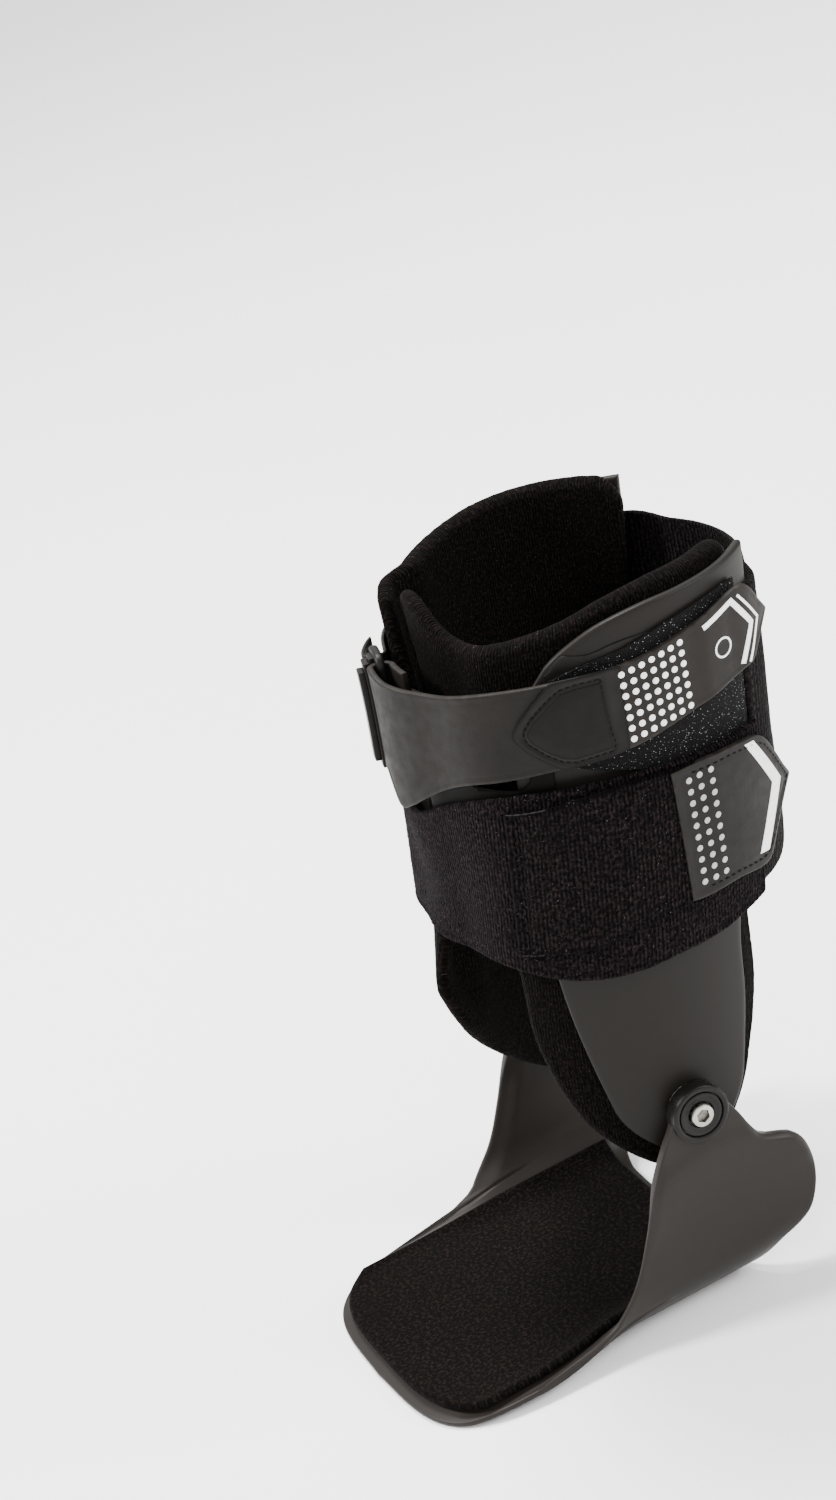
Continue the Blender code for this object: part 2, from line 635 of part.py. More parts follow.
def build_anchor(parent):
    """The plate under the strap, riveted to the lateral shell, with a rounded window at the shin."""
    def high(angle):
        return along(STRAP_HIGH, angle) - 2.0

    anchor = band("strap_anchor", moulded("strap_anchor"), (-84, -32.5), lambda a: 87.0 + 0.09 * (a + 84),
                  high, lambda a, h: ANCHOR_OUTER, ANCHOR_THICKNESS, parent, 5)
    bm = bmesh.new()
    middle = skin(-51, 109, 0)
    turn = Matrix.Translation(middle * MM) @ Matrix.Rotation(math.radians(-51), 4, "Z")
    bmesh.ops.create_cube(bm, size=1.0, matrix=turn @ Matrix.Diagonal((0.020, 0.0198, 0.018, 1)))
    rounded = [edge for edge in bm.edges if abs((edge.verts[0].co - edge.verts[1].co).z) < 1e-6
               and abs((edge.verts[0].co - edge.verts[1].co).length - 0.020) < 1e-5]
    bmesh.ops.bevel(bm, geom=rounded, offset=0.005, segments=4, affect="EDGES", profile=0.5)
    window = finish_mesh(bm, "anchor_window", make_material("anchor_window", (0.5, 0.5, 0.5), 0.5), parent)
    window.hide_render = True
    window.display_type = "WIRE"
    boolean(anchor, window, "DIFFERENCE")
    return anchor


# Rivets --------------------------------------------------------------------------------------------

def rivet(name, angle, height, side, parent, shell):
    """A domed rivet square to the skin. Its hole is cut through every sheet it holds."""
    middle = skin(angle, height, 0, side)
    ahead = skin(angle + 1, height, 0, side) - skin(angle - 1, height, 0, side)
    outward = ahead.cross(Vector((0, 0, 1))).normalized() * side
    frame = Matrix.Translation(middle * MM) @ outward.to_track_quat("Z", "Y").to_matrix().to_4x4()
    profile = [(-SHELL_THICKNESS + 0.2, 1.2), (ANCHOR_OUTER + GAP, 1.2), (ANCHOR_OUTER + GAP, 2.5),
               (ANCHOR_OUTER + GAP + 0.35, 2.4), (ANCHOR_OUTER + GAP + 0.6, 1.6)]
    bm = bmesh.new()
    rings = []
    for reach, radius in profile:
        spots = [(radius * math.cos(2 * math.pi * k / 16), radius * math.sin(2 * math.pi * k / 16))
                 for k in range(16)]
        rings.append([bm.verts.new(frame @ (Vector((x, y, reach)) * MM)) for x, y in spots])
    for ring, following in zip(rings, rings[1:]):
        for k in range(16):
            other = (k + 1) % 16
            bm.faces.new((ring[k], ring[other], following[other], following[k]))
    bm.faces.new(rings[0])
    bm.faces.new(rings[-1])
    finish_mesh(bm, name, steel(name), parent)
    bm = bmesh.new()
    bmesh.ops.create_cone(bm, cap_ends=True, segments=16, radius1=1.5 * MM, radius2=1.5 * MM,
                          depth=14 * MM, matrix=frame)
    hole = finish_mesh(bm, name + "_hole", make_material(name + "_hole", (0.5, 0.5, 0.5), 0.5), parent)
    hole.hide_render = True
    hole.display_type = "WIRE"
    for sheet in shell:
        boolean(sheet, hole, "DIFFERENCE")


# Ring and its keeper -------------------------------------------------------------------------------

def build_ring(parent):
    """A rectangular wire-form ring: four bars mitred into one closed loop."""
    corners = [(ring_bar_angle(-1), RING_LOW), (ring_bar_angle(1), RING_LOW),
               (ring_bar_angle(1), RING_HIGH), (ring_bar_angle(-1), RING_HIGH)]
    inset = RING_BAR_RADIUS
    heights = {RING_LOW: RING_LOW + inset, RING_HIGH: RING_HIGH - inset}
    points = [skin(angle, heights[height], RING_OFFSET) for angle, height in corners]
    across = (points[1] - points[0]).normalized()
    upward = Vector((0, 0, 1))
    outward = across.cross(upward).normalized()
    bm = bmesh.new()
    loops = []
    for k, point in enumerate(points):
        corner = (across * (1 if k in (1, 2) else -1)) + (upward * (1 if k in (2, 3) else -1))
        loop = []
        for step in range(10):
            turn = 2 * math.pi * step / 10
            spot = point + (corner * math.cos(turn) + outward * math.sin(turn)) * RING_BAR_RADIUS
            loop.append(bm.verts.new(spot * MM))
        loops.append(loop)
    for loop, following in zip(loops, loops[1:] + loops[:1]):
        for k in range(10):
            other = (k + 1) % 10
            bm.faces.new((loop[k], loop[other], following[other], following[k]))
    return finish_mesh(bm, "strap_ring", moulded("strap_ring"), parent)


def build_ring_keeper(parent):
    """The short strap that holds the ring to the medial shell, folded round the ring's rear bar."""
    start = 180 + ring_bar_angle(-1)
    inner = RING_OFFSET - FOLD_RADIUS

    def flank(angle):
        return inner + (ANCHOR_OUTER - ANCHOR_THICKNESS / 2 - inner) * ease((-angle - 50) / -14)

    path = [(angle, ANCHOR_OUTER - ANCHOR_THICKNESS / 2) for angle in (-35.5, -40, -45)]
    path += [(angle, flank(angle)) for angle in (-50, -55, -60, -65)]
    fold = [(-180 - angle, offset) for angle, offset in fold_stations(-1)]
    path += fold
    path += [(fold[-1][0] + 6, fold[-1][1] - 0.9), (fold[-1][0] + 12, fold[-1][1] - 2.6)]
    low, high = RING_LOW + 3.6, RING_HIGH - 3.6
    return strip("ring_keeper", moulded("ring_keeper"), path, lambda k: low, lambda k: high,
                 ANCHOR_THICKNESS, parent, 3, MEDIAL)


# Assembly ----------------------------------------------------------------------------------------------

def empty(name, location, lean=0.0):
    place = bpy.data.objects.new(name, None)
    place.location = Vector(location) * MM
    place.rotation_euler = (math.radians(lean), 0.0, 0.0)
    bpy.context.scene.collection.objects.link(place)
    return place


def child_empty(name, spot, parent):
    """An empty at a joint, and a second one that undoes its offset for pieces drawn in the shank's frame."""
    joint = empty(name, spot)
    joint.parent = parent
    frame = empty(name + "_frame", -Vector(spot))
    frame.parent = joint
    return frame


def build():
    clear_scene()
    build_footplate()
    build_sole_pad()
    shank = empty("ankle_axis", (0, 0, HINGE_HEIGHT), -LEAN)
    upright = empty("hinge_centre", (0, 0, HINGE_HEIGHT))
    upper_axis = skin(UPPER_TAB_ROOT, 125, upper_tab_outer(UPPER_TAB_ROOT, 125))
    lower_axis = skin(LOWER_TAB_ROOT, 80, lower_tab_outer(LOWER_TAB_ROOT, 80))
    ring_axis = skin(ring_bar_angle(-1), 113, RING_OFFSET)
    upper_peel = child_empty("upper_tab_axis", upper_axis, shank)
    lower_peel = child_empty("lower_tab_axis", lower_axis, shank)
    ring_swing = child_empty("ring_axis", ring_axis, shank)
    shells = {}
    for side, word in ((LATERAL, "lateral"), (MEDIAL, "medial")):
        build_hinge(side, word, upright)
        shells[word] = build_shell(side, word, shank)
        build_liner(side, word, shank)
        build_liner_hook(side, word, shank)
        build_hook_field(side, word, shank)
    build_lower_wrap(shank)
    build_calf_panel(shank)
    build_lower_strap(shank, lower_peel)
    build_upper_strap(shank, upper_peel)
    build_strap_patch(shank)
    anchor = build_anchor(shank)
    build_ring(ring_swing)
    keeper = build_ring_keeper(shank)
    for word, height in (("upper", 121.0), ("lower", 108.5)):
        rivet(word + "_anchor_rivet", -37.0, height, LATERAL, shank, (shells["lateral"], anchor))
        rivet(word + "_keeper_rivet", -40.0, height, MEDIAL, shank, (shells["medial"], keeper))


build()
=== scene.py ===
"""Dresses the hinged ankle brace: moulded plastic, plush liners, knit wrap, printed straps and hardware.

Lengths are in millimetres in the shank's frame until a mesh is made. That frame has its origin at the
middle of the hinge axis, its Z up the shank, and leans back by LEAN. An angle on the skin, the outer
face of the shells, is 0 at the side, -90 at the shin and +90 at the calf; side -1 mirrors it.
"""
import json
import math

import bmesh
import bpy
import numpy as np
from mathutils import Matrix, Vector, kdtree, noise


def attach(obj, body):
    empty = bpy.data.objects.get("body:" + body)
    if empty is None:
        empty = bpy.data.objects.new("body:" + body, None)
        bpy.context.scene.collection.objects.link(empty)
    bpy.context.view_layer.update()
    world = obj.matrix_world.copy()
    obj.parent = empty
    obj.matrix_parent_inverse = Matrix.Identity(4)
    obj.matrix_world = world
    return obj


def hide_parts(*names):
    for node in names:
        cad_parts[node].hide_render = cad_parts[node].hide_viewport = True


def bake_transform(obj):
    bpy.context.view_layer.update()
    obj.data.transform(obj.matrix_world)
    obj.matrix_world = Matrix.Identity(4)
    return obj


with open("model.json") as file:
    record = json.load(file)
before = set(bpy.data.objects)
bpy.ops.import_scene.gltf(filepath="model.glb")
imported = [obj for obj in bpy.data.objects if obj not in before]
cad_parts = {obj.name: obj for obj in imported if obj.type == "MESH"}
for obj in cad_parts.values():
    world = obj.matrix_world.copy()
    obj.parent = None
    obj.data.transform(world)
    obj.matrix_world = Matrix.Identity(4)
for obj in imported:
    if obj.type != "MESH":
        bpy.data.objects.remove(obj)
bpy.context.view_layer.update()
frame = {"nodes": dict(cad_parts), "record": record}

MM = 0.001
LATERAL, MEDIAL = 1, -1
HINGE_HEIGHT = 60.0
LEAN = math.radians(8.0)
ARC = 0.86  # millimetres round the skin per degree, for textures

# The skin and its layers, as in the part
SHIN_TUCK = [(25, 0), (50, 6), (62, 6.7), (80, 4.6), (95, 3.5), (125, 2.5), (140, 1), (150, 0)]
CALF_TUCK = [(60, 0), (80, 1.5), (100, 3), (120, 3.7), (135, 5), (145, 7)]
GAP = 0.3
SHELL_INNER = -2.5
LINER_OUTER = -3.9
LINER_THICKNESS = 6.5
FLAP_OUTER, FLAP_THICKNESS = -0.4, 4.2
TONGUE_OUTER, TONGUE_THICKNESS = -6.4, 4.5
HOOK_INNER, HOOK_OUTER = 0.45, 1.2
WRAP_INNER, WRAP_OUTER = 1.5, 3.7
STRAP_THICKNESS = 1.8
LOWER_STRAP_OUTER = 5.8
ANCHOR_OUTER, ANCHOR_THICKNESS = 1.2, 0.9
CALF_OUTER, CALF_THICKNESS = 1.7, 1.4
UPPER_TAB_ROOT, LOWER_TAB_ROOT = 9.6, 5.6
UPPER_BEND_END, LOWER_BEND_END = 15.0, 12.5
EAR_HOLE, SHELL_HOLE, NUT_POCKET = 7.2, 3.2, 6.6  # radii
SOCKET_HALF_ACROSS = 1.7
TURNED_SIDES, DRILL_SIDES = 96, 64


# Curves and the skin

def ease(amount):
    amount = np.clip(amount, 0.0, 1.0)
    return amount * amount * (3.0 - 2.0 * amount)


def along(points, at):
    """A smooth curve through (at, value) points, flat beyond its ends."""
    xs, ys = np.array(points, float).T
    last = len(xs) - 1
    low = np.maximum(np.arange(last + 1) - 1, 0)
    high = np.minimum(np.arange(last + 1) + 1, last)
    slopes = (ys[high] - ys[low]) / (xs[high] - xs[low])
    at = np.clip(np.asarray(at, float), xs[0], xs[-1])
    i = np.clip(np.searchsorted(xs, at, side="right") - 1, 0, last - 1)
    step = xs[i + 1] - xs[i]
    t = (at - xs[i]) / step
    start = (2 * t**3 - 3 * t**2 + 1) * ys[i] + (t**3 - 2 * t**2 + t) * step * slopes[i]
    return start + (3 * t**2 - 2 * t**3) * ys[i + 1] + (t**3 - t**2) * step * slopes[i + 1]


def tuck(angle, height):
    to_shin = 90 - np.abs(angle + 90)
    to_calf = 90 - np.abs(np.where(angle > -90, angle, angle + 360) - 90)
    shin = along(SHIN_TUCK, height) * ease((to_shin - 46) / 30)
    return shin + along(CALF_TUCK, height) * ease((to_calf - 44) / 20)


def skin(angle, height, offset, side=LATERAL):
    angle, height, offset = np.broadcast_arrays(np.asarray(angle, float), np.asarray(height, float),
                                                np.asarray(offset, float))
    offset = offset - tuck(angle, height)
    half_width = 42.0 + 0.031 * height
    half_depth = 47.0 + 4.0 * (1 - np.exp(-height / 45.0))
    turn = np.radians(angle)
    x = side * (half_width + offset) * np.cos(turn)
    y = 4.5 * ease(height / 120.0) + (half_depth + offset) * np.sin(turn)
    return np.stack([x, y, height], -1)


def to_world(points):
    """The shank's millimetres as metres in the frame's own axes."""
    x, y, z = np.moveaxis(np.asarray(points, float), -1, 0)
    back, up = math.sin(LEAN), math.cos(LEAN)
    return np.stack([x, y * up + z * back, z * up - y * back + HINGE_HEIGHT], -1) * MM


def upright(points):
    """Millimetres about the hinge centre, not leaning, as metres."""
    return (np.asarray(points, float) + (0, 0, HINGE_HEIGHT)) * MM


def standing(points):
    return np.asarray(points, float) * MM


def ridge(distance, at, width):
    """1 on a line, falling off smoothly to either side of it."""
    return np.exp(-((distance - at) / width) ** 2)


def unit(vectors):
    return vectors / np.maximum(np.linalg.norm(vectors, axis=-1, keepdims=True), 1e-9)


def frame_on(angle, height, outer, side=LATERAL):
    """Place, direction round the leg, direction up and outward normal at a spot on a layer."""
    reach = 0.4
    spot = skin(angle, height, outer(angle, height), side)
    ahead = skin(angle + reach, height, outer(angle + reach, height), side)
    behind = skin(angle - reach, height, outer(angle - reach, height), side)
    above = skin(angle, height + reach, outer(angle, height + reach), side)
    below = skin(angle, height - reach, outer(angle, height - reach), side)
    around, up = unit(ahead - behind), unit(above - below)
    return spot, around, up, unit(np.cross(around, up)) * side


# Meshes

def make_piece(name, verts, faces, material, cloth=None, sharp=None):
    """A smooth closed mesh from points in metres. cloth holds its texture coordinates in millimetres."""
    mesh = bpy.data.meshes.new(name)
    mesh.from_pydata(np.asarray(verts).tolist(), [], faces)
    bm = bmesh.new()
    bm.from_mesh(mesh)
    bmesh.ops.recalc_face_normals(bm, faces=bm.faces)
    bm.to_mesh(mesh)
    bm.free()
    attribute = mesh.attributes.new("cloth", "FLOAT_VECTOR", "POINT")
    values = np.asarray(verts) / MM if cloth is None else cloth
    attribute.data.foreach_set("vector", np.asarray(values, np.float32).ravel())
    mesh.shade_smooth()
    if sharp is not None:
        mesh.set_sharp_from_angle(angle=math.radians(sharp))
    mesh.materials.append(material)
    piece = bpy.data.objects.new(name, mesh)
    bpy.context.scene.collection.objects.link(piece)
    return piece


def dress(piece, body, slot, *stands_for):
    """The piece moves with a body and hides the nodes that it stands for; slot is not used."""
    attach(piece, body)
    if stands_for:
        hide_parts(*stands_for)


def cut(piece, tool):
    """Takes the tool's volume out of the piece, for good."""
    modifier = piece.modifiers.new("cut", "BOOLEAN")
    modifier.operation = "DIFFERENCE"
    modifier.solver = "EXACT"
    modifier.object = tool
    bpy.context.view_layer.update()
    result = bpy.data.meshes.new_from_object(piece.evaluated_get(bpy.context.evaluated_depsgraph_get()))
    piece.modifiers.clear()
    old, piece.data = piece.data, result
    bpy.data.meshes.remove(old)
    bpy.data.objects.remove(tool)


def round_turn(sides):
    return np.linspace(0, 2 * math.pi, sides, endpoint=False)


def hinge_rings(profile, side, sides):
    """Points about the hinge axis from (x, radius) stations; a radius may vary round its ring."""
    turns = round_turn(sides)
    return np.concatenate([np.stack([np.full(sides, side * x), r * np.cos(turns), r * np.sin(turns)], -1)
                           for x, r in profile])


def tube_faces(rings, sides, closed=False):
    """Faces between rings of points, joined round to the first ring or capped at both ends."""
    faces = []
    for k in range(rings if closed else rings - 1):
        after = (k + 1) % rings
        for i in range(sides):
            j = (i + 1) % sides
            faces.append([k * sides + i, k * sides + j, after * sides + j, after * sides + i])
    if not closed:
        faces += [list(range(sides)), list(range((rings - 1) * sides, rings * sides))]
    return faces


def drill(side, low, high, radius, place=upright):
    """A cylinder along the hinge axis, to cut with."""
    points = hinge_rings([(low, radius), (high, radius)], side, DRILL_SIDES)
    return make_piece("drill", place(points), tube_faces(2, DRILL_SIDES), None)


def border_loop(rows, columns):
    """Grid places round the edge of a grid, in order."""
    loop = [(0, i) for i in range(columns)] + [(j, columns - 1) for j in range(1, rows)]
    loop += [(rows - 1, i) for i in range(columns - 2, -1, -1)]
    return loop + [(j, 0) for j in range(rows - 2, 0, -1)]


def edge_distance(points, loop):
    """How far each point of a grid is from the grid's border."""
    fine = 0.06
    rim = np.array([points[j, i] for j, i in loop])
    following = np.roll(rim, -1, axis=0)
    dots = []
    for start, end in zip(rim, following):
        count = max(1, int(math.ceil(np.linalg.norm(end - start) / fine)))
        dots.append(start + (end - start) * (np.arange(count) / count)[:, None])
    dots = np.concatenate(dots)
    tree = kdtree.KDTree(len(dots))
    for k, dot in enumerate(dots):
        tree.insert(dot, k)
    tree.balance()
    flat = [tree.find(point)[2] for point in points.reshape(-1, 3)]
    distance = np.array(flat).reshape(points.shape[:2])
    for j, i in loop:
        distance[j, i] = 0.0
    return distance


def spaced(length, step, lip):
    """Shares of a length, closer together over the lip at each end."""
    near = lip * np.array([0.0, 0.08, 0.3, 0.62, 1.0])
    if length < 3 * lip:
        return np.linspace(0, 1, 9)
    count = max(2, round((length - 2 * lip) / step))
    middle = np.linspace(lip, length - lip, count + 1)[1:-1]
    return np.concatenate([near, middle, length - near[::-1]]) / length


def lay_sheet(name, outer, inner, material, flat, radius=None, relief=None, lining=None, place=to_world,
              taper=None):
    """A closed sheet between two grids, its edge fully rounded or rounded to a radius.

    flat gives the grid's texture coordinates. relief and lining raise the two faces, and are called with
    the texture coordinates and the distance from the edge. taper, called the same way, is how much of the
    thickness is taken off the inner face."""
    rows, columns = outer.shape[:2]
    middle, gap = (outer + inner) / 2, outer - inner
    half = np.linalg.norm(gap, axis=-1) / 2
    out = unit(gap)
    loop = border_loop(rows, columns)
    edge = edge_distance(middle, loop)
    if taper:
        loss = taper(*flat, edge) / 2
        half, middle = half - loss, middle + out * loss[..., None]
    if radius is None:
        thick = half * np.sqrt(1 - (1 - np.clip(edge / half, 0, 1)) ** 2)
    else:
        inside = radius - np.minimum(edge, radius)
        thick = half - radius + np.sqrt(radius**2 - inside**2)
    fade = ease(edge / 1.5)
    front = middle + out * (thick + (relief(*flat, edge) * fade if relief else 0))[..., None]
    back = middle - out * (thick + (lining(*flat, edge) * fade if lining else 0))[..., None]
    index = np.arange(rows * columns).reshape(rows, columns)
    verts = [front.reshape(-1, 3)]
    coordinates = np.stack([*flat, edge], -1).reshape(-1, 3)
    cloth = [coordinates]
    other = index.copy()
    if radius is None:
        keep = np.ones((rows, columns), bool)
        for j, i in loop:
            keep[j, i] = False
        other[keep] = rows * columns + np.arange(keep.sum())
        verts.append(back[keep])
        cloth.append(coordinates.reshape(rows, columns, 3)[keep])
    else:
        other = index + rows * columns
        verts.append(back.reshape(-1, 3))
        cloth.append(coordinates)
    faces = []
    for grid, order in ((index, (0, 1, 2, 3)), (other, (3, 2, 1, 0))):
        quads = np.stack([grid[:-1, :-1], grid[:-1, 1:], grid[1:, 1:], grid[1:, :-1]], -1).reshape(-1, 4)
        faces += quads[:, order].tolist()
    if radius is not None:
        for (j0, i0), (j1, i1) in zip(loop, loop[1:] + loop[:1]):
            faces.append([index[j0, i0], other[j0, i0], other[j1, i1], index[j1, i1]])
    return make_piece(name, place(np.concatenate(verts)), faces, material, np.concatenate(cloth))


def constant(value):
    return lambda angle, height: value + 0 * angle


def panel(name, spots, outer, thickness, material, radius=None, side=LATERAL, **more):
    """A sheet on the skin through a grid of (angle, height) spots."""
    angle, height = spots
    reach = outer(angle, height)
    return lay_sheet(name, skin(angle, height, reach, side),
                     skin(angle, height, reach - thickness(angle, height), side),
                     material, (angle * ARC, height), radius, **more)


def band_spots(angles, low, high, size, step, lip):
    """Spots between two edges that are functions of the angle; size is a rough length and width."""
    u, v = np.meshgrid(spaced(size[0], step, lip), spaced(size[1], step, lip))
    angle = angles[0] + (angles[1] - angles[0]) * u
    return angle, low(angle) + (high(angle) - low(angle)) * v


def side_spots(low, top, front, rear, rim, nose_depth, width, step, lip):
    """Spots of a side panel with a rounded lower end, free front and rear edges and a shaped rim."""
    start = 1 - math.cos(math.pi / 4)
    rise = 2 * (1 - start) * (top - low)
    count = round(70 / step)
    near = lip * np.array([0.0, 0.08, 0.3, 0.62, 1.0])[::-1] / rise
    v = np.concatenate([np.linspace(0, 0.5, count, endpoint=False),
                        np.linspace(0.5, 1 - near[0], round(100 / step), endpoint=False), 1 - near])
    u, v = np.meshgrid(spaced(width, step, lip), v)
    share = np.where(v < 0.5, 1 - np.cos(v * math.pi / 2), start + (1 - start) * (v - 0.5) / 0.5)
    height = low + (top - low) * share
    climb = np.clip((height - low) / nose_depth, 0, 1)
    full = np.sqrt(np.maximum(1 - (1 - climb) ** 2, 0.02))
    front_angle, rear_angle = -along(front, height) * full, along(rear, height) * full
    angle = front_angle + (rear_angle - front_angle) * u
    drop = top - along(rim, angle)
    return angle, height - drop * ease((height - low) / (top - low)) ** 1.5


def roughen(piece, amount, size, detail=0.5):
    """Moves a mesh's points in and out to break up its surface and outline as pile does."""
    mesh = piece.data
    count = len(mesh.vertices)
    places, normals = np.empty(count * 3), np.empty(count * 3)
    mesh.vertices.foreach_get("co", places)
    mesh.vertex_normals.foreach_get("vector", normals)
    places, normals = places.reshape(-1, 3), normals.reshape(-1, 3)
    spots = (places / (size * MM)).tolist()
    shift = np.array([noise.noise(spot) + detail * noise.noise([2.3 * x for x in spot]) for spot in spots])
    mesh.vertices.foreach_set("co", (places + normals * shift[:, None] * amount * MM).ravel())
    mesh.update()


def turned(name, profile, material, side):
    """A ring-shaped solid about the hinge axis from a closed outline of (x, radius) points."""
    points = hinge_rings(profile, side, TURNED_SIDES)
    return make_piece(name, upright(points), tube_faces(len(profile), TURNED_SIDES, closed=True), material,
                      sharp=35)


def lathe(profile, sides):
    """Points and faces of a small closed turned shape about Z from (radius, z) points."""
    turns = round_turn(sides)
    rings = [np.stack([r * np.cos(turns), r * np.sin(turns), np.full(sides, z)], -1) for r, z in profile]
    return np.concatenate(rings), tube_faces(len(profile), sides)


def scatter(name, shape, frames, material):
    """Copies of a small shape at (place, X direction, Y direction, Z direction) frames, as one piece."""
    points, faces = shape
    verts, all_faces = [], []
    for k, (spot, x, y, z) in enumerate(frames):
        verts.append(spot + points @ np.array([x, y, z]))
        all_faces += [[i + k * len(points) for i in face] for face in faces]
    return make_piece(name, to_world(np.concatenate(verts)), all_faces, material)


def evenly(line, pitch):
    """Spots a pitch apart along a line of (angle, height) corners, with the direction there in degrees."""
    spots = []
    left = pitch / 2
    for (a0, h0), (a1, h1) in zip(line, line[1:]):
        run, climb = (a1 - a0) * ARC, h1 - h0
        length = math.hypot(run, climb)
        while left < length:
            share = left / length
            spots.append((a0 + (a1 - a0) * share, h0 + (h1 - h0) * share, run / length, climb / length))
            left += pitch
        left -= length
    return spots


STITCH_PROFILE = [(0.08, -1.0), (0.6, -0.86), (0.9, -0.5), (1.0, 0.0), (0.9, 0.5), (0.6, 0.86), (0.08, 1.0)]


def sew(name, line, outer, material, length=1.7, pitch=2.5, radius=0.24):
    """A row of thread stitches along a line of (angle, height) corners."""
    points, faces = lathe([(radius * r, length / 2 * z) for r, z in STITCH_PROFILE], 8)
    points = points[:, (2, 1, 0)]
    frames = []
    for angle, height, run, climb in evenly(line, pitch):
        spot, around, up, out = frame_on(angle, height, outer)
        ahead = unit(around * run + up * climb)
        frames.append((spot + out * radius * 0.1, ahead, np.cross(out, ahead), out))
    return scatter(name, (points, faces), frames, material)


def dots(name, spots, outer, radius, material):
    """Low printed dots at (angle, height) spots."""
    rise = 0.14
    shape = lathe([(radius, -0.15), (radius, rise * 0.45), (radius * 0.9, rise * 0.85),
                   (radius * 0.6, rise)], 20)
    frames = [frame_on(angle, height, outer) for angle, height in spots]
    return scatter(name, shape, frames, material)


def stripe(name, edges, outer, material):
    """A raised printed stripe between two lines with the same number of (angle, height) corners."""
    rise, step = 0.16, 0.8
    lines = []
    for edge in edges:
        line = []
        for k, ((a0, h0), (a1, h1)) in enumerate(zip(edge, edge[1:])):
            (b0, g0), (b1, g1) = edges[0][k], edges[0][k + 1]
            count = max(2, round(math.hypot((b1 - b0) * ARC, g1 - g0) / step))
            line += [(a0 + (a1 - a0) * i / count, h0 + (h1 - h0) * i / count) for i in range(count)]
        lines.append(np.array(line + [edge[-1]]))
    share = np.array([0.0, 0.06, 0.2, 0.5, 0.8, 0.94, 1.0])[:, None, None]
    grid = lines[0][None] * (1 - share) + lines[1][None] * share
    angle, height = grid[..., 0], grid[..., 1]
    reach = outer(angle, height)
    return lay_sheet(name, skin(angle, height, reach + rise), skin(angle, height, reach - 0.12), material,
                     (angle * ARC, height), 0.08)


def mitred(line, width):
    """The two edges of a stripe of this width along a line of (angle, height) corners."""
    flat = np.array([(angle * ARC, height) for angle, height in line])
    ways = unit(np.diff(flat, axis=0))
    edges = [[], []]
    for k, point in enumerate(flat):
        before, after = ways[max(k - 1, 0)], ways[min(k, len(ways) - 1)]
        across = unit(before + after)
        across = np.array([-across[1], across[0]])
        stretch = 1 / max(0.35, abs(np.dot(across, (-after[1], after[0]))))
        for edge, sign in zip(edges, (1, -1)):
            spot = point + sign * across * stretch * width / 2
            edge.append((spot[0] / ARC, spot[1]))
    return edges


def ribbon(name, path, low, high, thickness, material, step, radius, relief=None, side=LATERAL):
    """A strap along a dense path of (angle, offset) stations, which may fold back over itself."""
    path = np.array(path)
    width = float(np.max(high - low))
    share = spaced(width, step, radius)
    heights = low[None, :] + (high - low)[None, :] * share[:, None]
    ahead = path[np.minimum(np.arange(len(path)) + 1, len(path) - 1)]
    behind = path[np.maximum(np.arange(len(path)) - 1, 0)]
    middle = skin(path[None, :, 0], heights, path[None, :, 1], side)
    run = skin(ahead[None, :, 0], heights, ahead[None, :, 1], side)
    run = run - skin(behind[None, :, 0], heights, behind[None, :, 1], side)
    normal = unit(np.cross(run, np.array([0.0, 0.0, 1.0]))) * thickness / 2
    lengths = np.linalg.norm(np.diff(middle[len(share) // 2], axis=0), axis=-1)
    arc = np.concatenate([[0], np.cumsum(lengths)])
    flat = (np.broadcast_to(arc[None, :], heights.shape), heights)
    return lay_sheet(name, middle + normal, middle - normal, material, flat, radius, relief)


# Materials

def put(tree, kind, inputs=(), **settings):
    """A shader node whose inputs are values or other nodes' outputs."""
    node = tree.nodes.new("ShaderNode" + kind)
    for key, value in settings.items():
        setattr(node, key, value)
    for key, value in dict(inputs).items():
        if isinstance(value, bpy.types.NodeSocket):
            tree.links.new(value, node.inputs[key])
        else:
            node.inputs[key].default_value = value
    return node


def begin(name, source, roughness, **sockets):
    """A new material, its shader, and its places in millimetres with the distance from the edge."""
    material = bpy.data.materials.new(name)
    material.use_nodes = True
    tree = material.node_tree
    shader = tree.nodes["Principled BSDF"]
    shader.inputs["Roughness"].default_value = roughness
    for key, value in sockets.items():
        shader.inputs[key.replace("_", " ")].default_value = value
    if source == "cloth":
        places = put(tree, "Attribute", attribute_name="cloth", attribute_type="GEOMETRY").outputs["Vector"]
        flat = scaled(tree, places, (1.0, 1.0, 0.0))
        edge = put(tree, "SeparateXYZ", {0: places}).outputs["Z"]
        return material, tree, shader, flat, edge
    places = put(tree, "TexCoord").outputs["Object"]
    if source == "object":
        flat = scaled(tree, places, (1 / MM, 1 / MM, 1 / MM))
    else:
        flat = put(tree, "Attribute", attribute_name="cloth", attribute_type="GEOMETRY").outputs["Vector"]
    return material, tree, shader, flat, None


def cloud(tree, places, scale, detail=2.0, low=0.35, high=0.65, start=0.0, end=1.0):
    """Noise stretched so that low to high becomes start to end."""
    grain = put(tree, "TexNoise", {"Vector": places, "Scale": scale, "Detail": detail}).outputs["Fac"]
    return span(tree, grain, low, high, start, end)


def span(tree, value, low, high, start, end):
    return put(tree, "MapRange", {"Value": value, "From Min": low, "From Max": high,
                                  "To Min": start, "To Max": end}).outputs["Result"]


def math_of(tree, operation, first, second=0.0):
    return put(tree, "Math", {0: first, 1: second}, operation=operation).outputs[0]


def times(tree, first, second):
    return math_of(tree, "MULTIPLY", first, second)


def plus(tree, first, second):
    return math_of(tree, "ADD", first, second)


